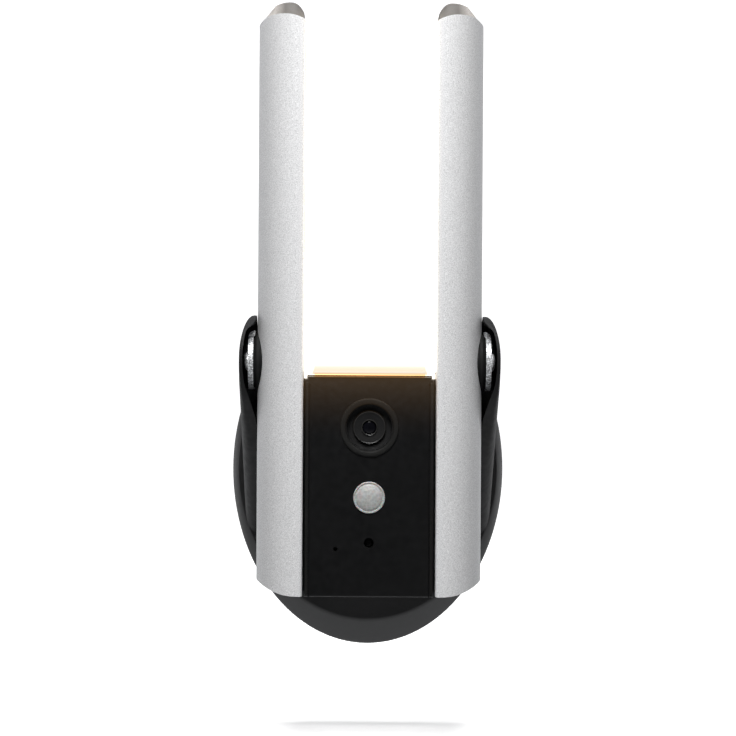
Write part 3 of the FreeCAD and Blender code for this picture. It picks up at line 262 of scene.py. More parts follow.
def painted_lamp_glow(shader, colour, strength, axis, fade):
    """Painted warm glow, an emission that stands in for the lit cover's light: across the surfaces beside it (X)
    or down those below (Z).
    """
    place = shader.axes(shader.place)
    distance = shader.maths("ABSOLUTE", place["X"]) if axis == "X" else place[axis]
    glow = shader.spread(distance, fade, (1.0, 0.0))
    glow = shader.maths("MULTIPLY", glow, glow)
    if axis == "X":
        beside = shader.spread(place["Z"], SPILL_START, (0.0, 1.0))
        glow = shader.maths("MULTIPLY", glow, beside)
    power = shader.add("ShaderNodeMath", operation="MULTIPLY")
    power.inputs[1].default_value = strength
    shader.link(glow, power.inputs[0])
    shader.link(power.outputs["Value"], shader.surface.inputs["Emission Strength"])
    shader.set(Emission_Color=(*colour, 1.0))


def silver_paint():
    """Satin silver paint: fine bright and dark flecks over soft clouds, and a painted warm glow on the inner edge
    beside the lit cover.
    """
    shader = Shader("silver_paint_look", (0.76, 0.76, 0.765), 0.42, 0.12)
    shader.tint(shader.noise(3000.0, 2.0), 0.27, 0.30, 0.70)
    shader.rough(shader.noise(2100.0, 2.0), 0.38, 0.52)
    shader.set(Specular_IOR_Level=0.22)
    shader.bump(shader.noise(2700.0, 3.0), 0.05 * MM, 0.55)
    shader.bump(shader.noise(800.0, 2.0), 0.03 * MM, 0.12)
    # Painted warm glow along the inner edge, standing in for the lit cover's light.
    painted_lamp_glow(shader, (1.0, 0.86, 0.66), 0.17, "X", (WING_LOW.x, WING_LOW.x + SPILL_WIDTH))
    return shader.material


def panel_plastic(name, colour, roughness, gloss):
    """Black plastic of the camera section, with a painted warm glow near its top that stands in for the lamp above
    it.
    """
    shader = clouded_plastic(name, colour, roughness, gloss)
    shader.bump(shader.noise(3000.0, 2.0), 0.02 * MM, 0.3)
    # Painted warm glow fading down from the panel's top edge, standing in for the lamp's light.
    painted_lamp_glow(shader, (1.0, 0.60, 0.27), 0.042, "Z", (PANEL_HIGH.z, PANEL_HIGH.z - SPILL_DEPTH))
    return shader.material


def cap_with_painted_shade():
    """The plug in a wing's upper end: painted shade in dark grey-brown with a painted warm reflection of the lamp,
    and a painted lit silver side on its outside slope.
    """
    shader = Shader("cap_painted_shade_look", (0.115, 0.103, 0.088), 0.6, 0.1)
    # Surfaces that face outward, far from the middle, get the painted lit colour; the rest get the painted shade.
    outward = shader.maths("MULTIPLY", shader.axes(shader.place)["X"], shader.facing()["X"])
    painted_lit_slope = shader.spread(outward, (9 * MM, 24 * MM), (0.0, 1.0))
    flecks = shader.noise(2700.0, 4.0)
    # Painted shade (dark warm grey-brown) and painted lit side (light grey), both flecked.
    dark = shader.ramp(flecks, ((0.32, (0.035, 0.030, 0.025)), (0.68, (0.072, 0.064, 0.055))))
    light = shader.ramp(flecks, ((0.32, (0.18, 0.165, 0.15)), (0.68, (0.38, 0.355, 0.33))))
    blend = shader.add("ShaderNodeMix", data_type="RGBA")
    shader.link(painted_lit_slope, blend.inputs["Factor"])
    shader.link(dark, blend.inputs["A"])
    shader.link(light, blend.inputs["B"])
    shader.link(blend.outputs["Result"], shader.surface.inputs["Base Color"])
    shader.bump(flecks, 0.05 * MM, 0.4)
    return shader.material


def lit_diffuser():
    """Milky cover lit from inside: warm and dimmer in a band along its lower edge."""
    shader = Shader("milky_light_look", (0.30, 0.29, 0.27), 0.5)
    place = shader.axes(shader.place)
    climb = shader.spread(place["Z"], (LIGHT_LOW.z, LIGHT_LOW.z + 24 * MM), (0.0, 1.0))
    aside = shader.maths("ABSOLUTE", place["X"])
    corner = shader.spread(aside, (23.2 * MM, 24.6 * MM), (0.0, 0.2))
    level = shader.maths("ADD", climb, corner)
    glow = shader.ramp(level, (
        (0.0, (1.0, 0.50, 0.18)), (0.03, (1.0, 0.72, 0.44)), (0.055, (1.0, 0.93, 0.78)),
        (0.08, (1.0, 0.80, 0.56)), (0.13, (1.0, 0.84, 0.64)), (0.2, (1.0, 0.93, 0.82))))
    shader.link(glow, shader.surface.inputs["Emission Color"])
    front_power = shader.spread(level, (0.13, 0.30), (0.80, 1.9))
    sill_power = shader.spread(shader.facing()["Z"], (-0.90, -0.985), (0.0, 5.0))
    power = shader.maths("MAXIMUM", front_power, sill_power)
    shader.link(power, shader.surface.inputs["Emission Strength"])
    shader.bump(shader.noise(700.0, 2.0), 0.02 * MM, 0.1)
    return shader.material


def fresnel_plastic():
    """Cloudy grey polythene of the motion sensor's lens."""
    shader = Shader("fresnel_plastic_look", (0.44, 0.44, 0.43), 0.45)
    cells = shader.cells(950.0)
    shader.tint(cells.outputs["Distance"], 0.16, 0.1, 0.9)
    shader.bump(cells.outputs["Distance"], 0.12 * MM, 0.5)
    shader.set(Subsurface_Weight=0.25, Subsurface_Scale=0.002)
    return shader.material


def glow_material(name, colour, strength):
    """A small lit part, slightly mottled."""
    shader = Shader(name, colour, 0.4)
    shader.tint(shader.noise(1200.0), 0.05)
    shader.set(Emission_Color=(*colour, 1.0), Emission_Strength=strength)
    return shader.material


def coated_glass():
    """Front glass of the lens: nearly black, with a faint bluish coating."""
    shader = Shader("lens_glass_look", (0.004, 0.004, 0.006), 0.14)
    shader.tint(shader.noise(160.0), 0.4)
    shader.rough(shader.noise(500.0), 0.05, 0.09)
    shader.set(Specular_IOR_Level=0.16, Coat_Weight=0.03, Coat_Roughness=0.05,
               Coat_Tint=(0.80, 0.88, 1.0, 1.0))
    return shader.material


def circuit_board():
    """Green solder mask with lighter tracks."""
    shader = Shader("green_board_look", (0.020, 0.115, 0.045), 0.35)
    tracks = shader.cells(260.0, "DISTANCE_TO_EDGE")
    colours = shader.ramp(tracks.outputs["Distance"], (
        (0.0, (0.06, 0.26, 0.11)), (0.05, (0.05, 0.24, 0.10)), (0.08, (0.02, 0.115, 0.045))))
    shader.link(colours, shader.surface.inputs["Base Color"])
    shader.bump(tracks.outputs["Distance"], 0.03 * MM, 0.4)
    return shader.material


LOOKS = {
    "foam": grained_plastic("foam_look", (0.02, 0.02, 0.02), 0.85, 900.0, 0.3),
    "black_shell": grained_plastic("black_shell_look", (0.010, 0.010, 0.0105), 0.36, gloss=0.7),
    "black_metal": grained_plastic("black_metal_look", (0.008, 0.008, 0.0085), 0.62, 1900.0,
                                   0.08, 0.22),
    "black_panel": panel_plastic("black_panel_look", (0.0035, 0.0035, 0.0038), 0.4, 0.3),
    "zinc_steel": zinc_plate("zinc_steel_look", (0.60, 0.61, 0.62), 0.45),
    "screw_steel": zinc_plate("screw_steel_look", (0.80, 0.80, 0.81), 0.25),
    "brass_parts": bare_metal("brass_parts_look", (0.78, 0.60, 0.30), 0.3),
    "black_rubber": grained_plastic("black_rubber_look", (0.006, 0.006, 0.006), 0.75, 1500.0,
                                    0.08, 0.25),
    "ivory_plastic": grained_plastic("ivory_plastic_look", (0.68, 0.60, 0.42), 0.5),
    "silver_paint": silver_paint(),
    "cap_grey": cap_with_painted_shade(),
    "milky_light": lit_diffuser(),
    "white_plastic": grained_plastic("white_plastic_look", (0.85, 0.85, 0.83), 0.45),
    "white_board": grained_plastic("white_board_look", (0.82, 0.82, 0.80), 0.4),
    "diode_light": glow_material("diode_light_look", (1.0, 0.86, 0.55), 3.0),
    "raw_aluminium": bare_metal("raw_aluminium_look", (0.76, 0.76, 0.77), 0.35, (1.0, 1.0, 0.06)),
    "bezel_grey": panel_plastic("bezel_grey_look", (0.011, 0.011, 0.0105), 0.62, 0.14),
    "lens_glass": coated_glass(),
    "fresnel_plastic": fresnel_plastic(),
    "dark_clear": panel_plastic("dark_clear_look", (0.02, 0.02, 0.019), 0.38, 0.4),
    "chip_black": grained_plastic("chip_black_look", (0.03, 0.03, 0.03), 0.55),
    "green_board": circuit_board(),
    "button_red": grained_plastic("button_red_look", (0.36, 0.03, 0.02), 0.45),
}

for entry in frame["record"]["subparts"]:
    materials = frame["nodes"][entry["node"]].data.materials
    materials.clear()
    materials.append(LOOKS[entry["material_slot"]])


# ---------------------------------------------------------------- mesh helpers

def finish_mesh(name, bm, look, body, replaces=(), sharp=35.0):
    """Turn a bmesh into a piece that rides on a body and stands for CAD nodes."""
    bmesh.ops.remove_doubles(bm, verts=bm.verts, dist=1e-7)
    bmesh.ops.recalc_face_normals(bm, faces=bm.faces)
    mesh = bpy.data.meshes.new(name)
    bm.to_mesh(mesh)
    bm.free()
    piece = bpy.data.objects.new(name, mesh)
    bpy.context.scene.collection.objects.link(piece)
    mesh.materials.append(LOOKS[look])
    mesh.shade_smooth()
    mesh.set_sharp_from_angle(angle=math.radians(sharp))
    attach(piece, body)
    if replaces:
        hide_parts(*replaces)
    return piece


def add_rings(bm, rings, loop=False, caps=(False, False)):
    """Skin a row of closed rings; a ring of one point is an apex."""
    rows = [[bm.verts.new(p) for p in ring] for ring in rings]
    pairs = list(zip(rows, rows[1:]))
    if loop:
        pairs.append((rows[-1], rows[0]))
    for first, second in pairs:
        for n in range(max(len(first), len(second))):
            corners = []
            for vert in (first[n % len(first)], first[(n + 1) % len(first)],
                         second[(n + 1) % len(second)], second[n % len(second)]):
                if vert not in corners:
                    corners.append(vert)
            if len(corners) > 2:
                bm.faces.new(corners)
    for wanted, ring in zip(caps, (rows[0], rows[-1])):
        if wanted:
            bm.faces.new(ring)
    return rows


def skin(name, rings, look, body, replaces=(), loop=False, caps=(True, True), sharp=35.0):
    """A closed piece from a row of closed rings."""
    bm = bmesh.new()
    add_rings(bm, rings, loop, (caps[0] and not loop, caps[1] and not loop))
    return finish_mesh(name, bm, look, body, replaces, sharp)


def turned(profile, centre, axis="-Y", segments=72):
    """Rings of a turned shape; profile is (radius, distance along the axis) in millimetres."""
    rings = []
    for radius, along in profile:
        ring = []
        for n in range(segments if radius > 0 else 1):
            angle = 2 * math.pi * n / segments
            a = radius * MM * math.cos(angle)
            b = radius * MM * math.sin(angle)
            offset = {"-Y": Vector((a, -along * MM, b)), "X": Vector((along * MM, a, b)),
                      "-X": Vector((-along * MM, a, b))}[axis]
            ring.append(centre + offset)
        rings.append(ring)
    return rings


def turned_on_pivot(profile, sign, segments):
    """Rings about the tilt axis, at distances out from the lamp's middle."""
    centre = Vector((0.0, PIVOT.y, PIVOT.z))
    return turned(profile, centre, "X" if sign > 0 else "-X", segments)


def round_over(start, radius, steps):
    """(inset, out) pairs of a quarter round, from a wall at start to a face."""
    pairs = []
    for n in range(steps + 1):
        angle = math.pi / 2 * n / steps
        pairs.append((radius * (1 - math.cos(angle)), start + radius * math.sin(angle)))
    return pairs


def rounded_rectangle(half_width, low, high, radius, steps=8):
    """(x, z) corners of a rectangle with rounded corners, in millimetres."""
    side = half_width - radius
    points = []
    for x, z, start in ((side, low + radius, -90), (side, high - radius, 0),
                        (-side, high - radius, 90), (-side, low + radius, 180)):
        for n in range(steps + 1):
            angle = math.radians(start + 90 * n / steps)
            points.append((x + radius * math.cos(angle), z + radius * math.sin(angle)))
    return points


def cut_away(piece, rings):
    """Take a closed shape, given as rings, out of a piece."""
    bm = bmesh.new()
    add_rings(bm, rings, caps=(len(rings[0]) > 1, len(rings[-1]) > 1))
    bmesh.ops.recalc_face_normals(bm, faces=bm.faces)
    mesh = bpy.data.meshes.new("cutter")
    bm.to_mesh(mesh)
    bm.free()
    cutter = bpy.data.objects.new("cutter", mesh)
    bpy.context.scene.collection.objects.link(cutter)
    modifier = piece.modifiers.new("cut", "BOOLEAN")
    modifier.operation = "DIFFERENCE"
    modifier.solver = "EXACT"
    modifier.object = cutter
    depsgraph = bpy.context.evaluated_depsgraph_get()
    result = bpy.data.meshes.new_from_object(piece.evaluated_get(depsgraph))
    piece.modifiers.clear()
    piece.data = result
    result.name = piece.name
    bpy.data.objects.remove(cutter)


def smooth_min(values, softness):
    """The least of several heights, blended where they meet."""
    least = min(values)
    return least - softness * math.log(sum(math.exp((least - v) / softness) for v in values))


# ---------------------------------------------------------------- wings

WING_IN = WING_LOW.x / MM
WING_OUT = WING_HIGH.x / MM
WING_FRONT = -WING_LOW.y / MM
WING_REAR = -WING_HIGH.y / MM
LIP = WING_HIGH.z / MM
FOOT = WING_LOW.z / MM
WING_THICK = 2.0
EDGE_RADIUS = 1.4
FLANGE_END = 103.2
FLANGE_BEND = 107.0
CURVE_OUT = 87.0
CURVE_POWER = 2.05
SIDE_STOPS = (84.0, 79.0, 74.0, 70.0)
ARCH_MIDDLE = 38.0
ARCH_OUTSIDE = 0.017
ARCH_INSIDE = 0.025
SHOULDER_X = 44.4
SHOULDER_DROP = 0.69
SHOULDER_SLOPE = 0.6
FOOT_SLOPE = math.tan(math.radians(8.0))
FOOT_LIFT = 5.5
HUB_RADIUS = 13.5


def wing_plan(inset):
    """(x, out) along the wing's skin: inner flange, rounded edge, curved front, flat side."""
    points = [(WING_IN + inset, FLANGE_END), (WING_IN + inset, FLANGE_BEND)]
    edge = max(EDGE_RADIUS - inset, 0.3)
    front = WING_FRONT - inset
    for n in range(7):
        angle = math.radians(90 * n / 6)
        points.append((WING_IN + inset + edge * (1 - math.cos(angle)),
                       front - edge * (1 - math.sin(angle))))
    start = WING_IN + inset + edge
    width = WING_OUT - inset - start
    depth = front - CURVE_OUT
    for n in range(1, 41):
        angle = math.radians(90 * (1 - n / 40))
        points.append((start + width * math.cos(angle) ** (2 / CURVE_POWER),
                       CURVE_OUT + depth * math.sin(angle) ** (2 / CURVE_POWER)))
    for out in (*SIDE_STOPS, WING_REAR):
        points.append((WING_OUT - inset, out))
    return points


def wing_top(x):
    """Height of the silver skin's gently arched upper edge, sloping down outside."""
    offset = x - ARCH_MIDDLE
    arch = LIP - (ARCH_OUTSIDE if offset > 0 else ARCH_INSIDE) * offset ** 2
    return min(arch, LIP - SHOULDER_DROP - SHOULDER_SLOPE * (x - SHOULDER_X))


def wing_bottom(x, out):
    """Height of the lower edge: it rises towards the wall, and outwards near the front."""
    share = clamp((x - WING_IN) / (WING_OUT - WING_IN))
    depth = WING_FRONT - out
    lift = FOOT_LIFT * share ** 3 * (1 - depth / (WING_FRONT - WING_REAR))
    return FOOT + depth * FOOT_SLOPE + lift


def wing(side, sign):
    """Thin curved silver cover with a sloping lower end and the round pivot opening."""
    outer = wing_plan(0.0)
    inner = wing_plan(WING_THICK)
    rows = 42
    rings = []
    for row in range(rows + 1):
        share = row / rows
        ring = []
        for plan, flip in ((outer, False), (inner, True)):
            line = [at(sign * x, out, wing_bottom(x, out) * (1 - share) + wing_top(x) * share)
                    for x, out in plan]
            ring += reversed(line) if flip else line
        rings.append(ring)
    bm = bmesh.new()
    table = add_rings(bm, rings)
    count = len(outer)
    for ring in (table[0], table[-1]):
        for n in range(count - 1):
            bm.faces.new((ring[n], ring[n + 1], ring[2 * count - 2 - n], ring[2 * count - 1 - n]))
    piece = finish_mesh(f"{side}_wing_skin", bm, "silver_paint", HEAD, (f"{side}_wing",), 40.0)
    cut_away(piece, turned_on_pivot(((HUB_RADIUS, 40.0), (HUB_RADIUS, 55.0)), sign, 96))
    piece.data.set_sharp_from_angle(angle=math.radians(40))
    soften(piece, 0.25)


def soften(piece, width):
    """A small bevel on sharp edges."""
    bevel = piece.modifiers.new("edges", "BEVEL")
    bevel.width = width * MM
    bevel.segments = 2
    bevel.limit_method = "ANGLE"
    bevel.angle_limit = math.radians(40)
    bevel.harden_normals = True


def wing_crown(side, sign):
    """Domed plug above the wing's lip, rounded inside and sloping down outside."""
    peak = CAP_HIGH.z / MM
    inset = 0.6
    left = WING_IN + 1.3 * inset
    right = WING_OUT - inset
    depth = WING_FRONT - inset - CURVE_OUT
    climb_depth = 20.0

    def front(x):
        share = clamp((x - left) / (right - left))
        return CURVE_OUT + depth * (1 - share ** CURVE_POWER) ** (1 / CURVE_POWER)

    def ridge_drop(x):
        crest, shoulder = 35.6, 41.0
        if x < crest:
            return 6.5 * ((crest - x) / (crest - WING_IN)) ** 3
        if x < shoulder:
            return 1.0 * ((x - crest) / (shoulder - crest)) ** 2
        return 1.0 + 1.08 * (x - shoulder)

    def height(x, out):
        ridge = peak - ridge_drop(x)
        lip = wing_top(x) - 0.25
        behind = clamp((front(x) - out) / climb_depth)
        rise = lip + (ridge - lip) * math.sin(math.pi / 2 * behind)
        rear = wing_top(x) + 1.6 * (out - WING_REAR)
        return min(peak, smooth_min((rise, rear), 0.2))

    across, along = 30, 30
    upper = []
    for i in range(across + 1):
        x = left + (right - left) * (0.5 - 0.5 * math.cos(math.pi * i / across))
        row = []
        for j in range(along + 1):
            share = 0.5 - 0.5 * math.cos(math.pi * j / along)
            out = front(x) + (WING_REAR + 0.6 - front(x)) * share
            row.append((x, out, height(x, out)))
        upper.append(row)
    bm = bmesh.new()
    top = [[bm.verts.new(at(sign * x, out, z)) for x, out, z in row] for row in upper]
    floor = (LIP - 4.0) * MM
    base = [[bm.verts.new((v.co.x, v.co.y, floor)) for v in row] for row in top]
    for i in range(across):
        for j in range(along):
            bm.faces.new((top[i][j], top[i + 1][j], top[i + 1][j + 1], top[i][j + 1]))
            bm.faces.new((base[i][j], base[i][j + 1], base[i + 1][j + 1], base[i + 1][j]))
    for i in range(across):
        for j in (0, along):
            bm.faces.new((top[i][j], base[i][j], base[i + 1][j], top[i + 1][j]))
    for j in range(along):
        for i in (0, across):
            bm.faces.new((top[i][j], top[i][j + 1], base[i][j + 1], base[i][j]))
    # Its look is painted: grey-brown shade on top and a lit silver side on the outward slope.
    finish_mesh(f"{side}_wing_crown", bm, "cap_grey", HEAD, (f"{side}_wing_cap",), 50.0)


for side_name, side_sign in SIDES.items():
    wing(side_name, side_sign)
    wing_crown(side_name, side_sign)


# ---------------------------------------------------------------- light

def diffuser():
    """Milky light cover: a tall box with soft front edges and a foot at each lower corner."""
    half = LIGHT_HIGH.x / MM + 0.5
    low = LIGHT_LOW.z / MM
    high = LIGHT_HIGH.z / MM
    back = -LIGHT_HIGH.y / MM
    front = -LIGHT_LOW.y / MM
    edge = 2.6
    sections = [(inset, out, 1.6) for inset, out in
                [(0.0, back)] + round_over(front - edge, edge, 8)]
    sections += [(edge + 9.0, front - 0.02, 1.0), (edge + 20.0, front - 0.04, 1.0)]
    rings = []
    for inset, out, radius in sections:
        corners = rounded_rectangle(half - inset, low + inset, high - inset, radius)
        rings.append([at(x, out, z) for x, z in corners])
    bm = bmesh.new()
    add_rings(bm, rings, caps=(True, True))
    foot_width, foot_depth, foot_lap = 1.3, 1.5, 0.6
    for sign in (-1, 1):
        foot = [[at(sign * x, out, z) for x, z in
                 ((half - foot_width, low - foot_depth), (half, low - foot_depth),
                  (half, low + foot_lap), (half - foot_width, low + foot_lap))]
                for out in (back, -PANEL_FACE / MM - 0.3)]
        add_rings(bm, foot, caps=(True, True))
    finish_mesh("light_cover", bm, "milky_light", HEAD, ("light_diffuser",))


diffuser()


# ---------------------------------------------------------------- camera section

def panel():
    """Black panel with stepped upper corners, soft edges, side grooves and four holes."""
    half = PANEL_HIGH.x / MM
    low = PANEL_LOW.z / MM
    high = PANEL_HIGH.z / MM
    back = -PANEL_HIGH.y / MM
    front = -PANEL_FACE / MM
    step = 1.1

    def ring(inset, out):
        a = half - inset
        b = half - step - inset
        top = high - inset
        shoulder = high - step - inset
        foot = low + inset
        corners = ((-a, foot), (a, foot), (a, shoulder), (b, shoulder), (b, top), (-b, top),
                   (-b, shoulder), (-a, shoulder))
        return [at(x, out, z) for x, z in corners]

    rings = [ring(0.0, back)] + [ring(i, o) for i, o in round_over(front - 0.6, 0.6, 4)]
    piece = skin("panel_face", rings, "black_panel", HEAD, ("camera_panel",), sharp=30.0)
    for centre, radius in ((LENS, 9.8), (MOTION, 5.9), (STATUS, 2.1), (MICROPHONE, 0.9)):
        hole = Vector((centre.x, PANEL_FACE, centre.z))
        cut_away(piece, turned(((radius, -3.4), (radius, 1.0)), hole, "-Y", 64))
    for sign in (-1, 1):
        x = sign * (half - 1.9)
        groove = [[at(x + a, front + out, z) for a, z in
                   ((-0.3, low - 1), (0.3, low - 1), (0.3, high - 3), (-0.3, high - 3))]
                  for out in (-0.9, 1.0)]
        cut_away(piece, groove)
    piece.data.set_sharp_from_angle(angle=math.radians(30))


def rails():
    """Slim raised rails along both sides of the panel."""
    low = PANEL_LOW.z / MM + 0.5
    high = PANEL_HIGH.z / MM - 2.6
    front = -PANEL_FACE / MM
    for side, sign in SIDES.items():
        x = sign * (PANEL_HIGH.x / MM - 0.85)
        rings = []
        for inset, out in [(0.0, front - 1.0)] + round_over(front + 0.05, 0.35, 4):
            corners = rounded_rectangle(0.62 - inset, low + inset, high - inset, 0.3, 3)
            rings.append([at(x + a, out, z) for a, z in corners])
        skin(f"{side}_panel_rail", rings, "bezel_grey", HEAD)


def lens():
    """Ring, dark stepped funnel, barrel with two thin trims, and front glass of the camera."""
    centre = Vector((LENS.x, PANEL_FACE, LENS.z))
    ring = [(12.4, -0.6)] + [(12.4 - inset, out) for inset, out in round_over(0.2, 0.7, 6)]
    ring += [(10.7, 0.86), (10.2, 0.66), (9.95, 0.3), (9.9, -0.6)]
    skin("lens_ring", turned(ring, centre), "bezel_grey", HEAD, ("lens_bezel",), loop=True,
         sharp=50.0)
    funnel = [(9.85, -0.3), (9.6, -0.4), (9.45, -2.9), (9.1, -3.2), (7.25, -3.3), (7.2, -4.4),
              (9.85, -4.4)]
    skin("lens_funnel", turned(funnel, centre), "black_rubber", HEAD, loop=True, sharp=40.0)
    barrel = [(6.95, -6.2), (6.95, -2.5)]
    barrel += [(6.95 - inset, out) for inset, out in round_over(-2.5, 0.35, 4)]
    barrel += [(6.3, -2.25), (3.5, -2.6), (3.35, -2.45), (3.05, -2.45), (2.95, -2.8), (2.9, -6.2)]
    skin("lens_tube", turned(barrel, centre), "black_rubber", HEAD, ("lens_barrel",), loop=True,
         sharp=40.0)
    for name, outside in (("lens_trim_outer", 6.75), ("lens_trim_inner", 3.35)):
        inside = outside - 0.28
        trim = [(outside, -2.7), (outside, -2.05), (inside, -2.16), (inside, -2.7)]
        skin(name, turned(trim, centre), "dark_clear", HEAD, loop=True, sharp=30.0)
    glass = [(2.95, -6.2), (2.95, -3.4)]
    glass += [(2.95 * math.cos(math.radians(a)), -3.4 + 0.9 * math.sin(math.radians(a)))
              for a in range(10, 90, 10)] + [(0.0, -2.5)]
    skin("lens_front_glass", turned(glass, centre), "lens_glass", HEAD, ("lens_glass",),
         caps=(True, False), sharp=60.0)


def motion_lens():
    """Domed sensor lens: a thin rim and rows of flat Fresnel facets."""
    centre = Vector((MOTION.x, PANEL_FACE, MOTION.z))
    rim = [(5.6, -2.2), (6.7, -0.4)]
    rim += [(6.7 - inset, out) for inset, out in round_over(0.45, 0.35, 4)]
    rim += [(6.05, 0.75), (5.8, 0.5)]
    skin("motion_rim", turned(rim, centre), "fresnel_plastic", HEAD, loop=True, sharp=50.0)
    bm = bmesh.new()
    for radius, out, count in ((5.95, 0.4, 24), (5.0, 1.15, 24), (3.4, 1.75, 12), (1.6, 2.1, 6),
                               (5.0, -1.6, 24)):
        for n in range(count):
            angle = 2 * math.pi * n / count
            bm.verts.new(centre + Vector((radius * MM * math.cos(angle), -out * MM,
                                          radius * MM * math.sin(angle))))
    bmesh.ops.convex_hull(bm, input=bm.verts)
    finish_mesh("motion_dome", bm, "fresnel_plastic", HEAD, ("motion_lens",), 4.0)


def status_window():
    """Recessed dark end of the status light's pipe."""
    centre = Vector((STATUS.x, PANEL_FACE, STATUS.z))
    pipe = [(1.75, -4.6), (1.75, -2.9), (1.5, -2.7), (0.8, -2.55), (0.0, -2.5)]
    skin("status_window", turned(pipe, centre, segments=48), "black_rubber", HEAD,
         ("status_light_pipe",), caps=(True, False))


panel()
rails()
lens()
motion_lens()
status_window()


# ---------------------------------------------------------------- base

def base_cover():
    """Bevelled oval cover with softened edges and the shallow dome behind the head."""
    wide = SHELL_HIGH.x / MM
    tall = SHELL_HIGH.z / MM
    start = -SHELL_HIGH.y / MM
    deep = -SHELL_LOW.y / MM
    outer = [(wide, tall, start), (wide, tall, 3.3), (wide - 0.15, tall - 0.3, 3.9),
             (wide - 0.5, tall - 1.2, 4.6), (wide - 2.9, tall - 10.2, 11.3),
             (wide - 3.4, tall - 11.2, 11.85), (wide - 4.2, tall - 12.4, 12.0),
             (47.4, 50.4, 12.0), (46.4, 49.4, 12.2), (45.8, 48.8, 12.8),
             (41.8, 44.9, deep - 1.4), (41.0, 44.1, deep - 0.4), (39.6, 42.7, deep)]
    inner = [(20.0, 22.0, deep), (20.0, 22.0, deep - 2.2), (39.4, 42.4, deep - 2.2),
             (42.6, 45.6, 12.0), (45.2, 48.2, 9.8),
             (wide - 5.6, tall - 13.2, 9.8), (wide - 2.6, tall - 3.2, 4.2),
             (wide - 2.2, tall - 2.2, start)]
    rings = []
    for half_width, half_height, out in outer + inner:
        ring = []
        for n in range(128):
            angle = 2 * math.pi * n / 128
            ring.append(Vector((half_width * MM * math.cos(angle), -out * MM,
                                half_height * MM * math.sin(angle))))
        rings.append(ring)
    bm = bmesh.new()
    table = add_rings(bm, rings, loop=True)
    # The faces that join the two skins in the middle give way to a flat face on each skin.
    above, below = table[len(outer)], table[len(outer) + 1]
    for vert, after in zip(above, above[1:] + above[:1]):
        joint = next(f for f in vert.link_faces if after in f.verts
                     and all(v in above or v in below for v in f.verts))
        bm.faces.remove(joint)
    bm.faces.new(above)
    bm.faces.new(below)
    piece = finish_mesh("base_cover", bm, "black_shell", BASE, ("base_shell",), 30.0)
    low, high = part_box("base_screws")
    for x in (low.x + 2.9 * MM, high.x - 2.9 * MM):
        cut_away(piece, turned(((3.3, -2.0), (3.3, 1.0)), Vector((x, SHELL_LOW.y, 0.0)), "-Y", 48))
    lead = middle("base_gland")
    cut_away(piece, turned(((5.0, -6.0), (5.0, 2.0)), Vector((0.0, SHELL_LOW.y, lead.z)), "-Y", 48))


base_cover()


# ---------------------------------------------------------------- pivots

ARM_LOW, ARM_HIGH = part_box("right_arm")
ARM_IN = ARM_LOW.x / MM
ARM_OUT = ARM_HIGH.x / MM
EAR = ARM_HIGH.z / MM - PIVOT.z / MM
EAR_MIDDLE = Vector((-PIVOT.y / MM, PIVOT.z / MM))
ROOT_OUT = -ARM_HIGH.y / MM - 0.4
ROOT_LOW = Vector((ROOT_OUT, ARM_LOW.z / MM))
ROOT_TOP = Vector((ROOT_OUT, 34.0))
DOME_WIDTH = 18.5
ROLL_WIDTH = 10.0
ROLL_TOP = 46.0
TAB_THICK = 2.2
SCREW_HEAD = 3.9


def tangent(corner, turn, radius):
    """Angle at which a line from a root corner touches the ear, in the (out, z) plane."""
    gap = corner - EAR_MIDDLE
    angle = math.atan2(gap.y, gap.x) + turn * math.acos(radius / gap.length)
    return math.atan2(math.sin(angle), math.cos(angle))


def on_ear(angle, radius):
    """The point at an angle on a circle about the ear's middle."""
    return EAR_MIDDLE + Vector((math.cos(angle), math.sin(angle))) * radius


def arm_grid(inset):
    """Rows of (out, z) points that fill the arm's side outline, from root to ear."""
    stations, tip, across = 26, 14, 26
    radius = EAR - inset
    low_root = ROOT_LOW + Vector((inset * 0.3, inset * 1.5))
    top_root = ROOT_TOP + Vector((inset * 0.3, -inset * 1.5))
    low_angle = tangent(low_root, 1, radius)
    top_angle = tangent(top_root, -1, radius)
    middle_angle = (low_angle + top_angle) / 2
    ends = []
    for n in range(stations + 1):
        share = n / stations
        ends.append((low_root.lerp(on_ear(low_angle, radius), share),
                     top_root.lerp(on_ear(top_angle, radius), share)))
    for n in range(1, tip + 1):
        share = math.sin(math.pi / 2 * n / tip) * 0.985
        ends.append((on_ear(low_angle + (middle_angle - low_angle) * share, radius),
                     on_ear(top_angle + (middle_angle - top_angle) * share, radius)))
    rows = []
    for low, top in ends:
        rows.append([low.lerp(top, 0.5 - 0.5 * math.cos(math.pi * j / across))
                     for j in range(across + 1)])
    return rows


def rolled(share):
    """Drop of a quarter round, as a share of its height."""
    return 1 - math.sqrt(1 - share ** 2)


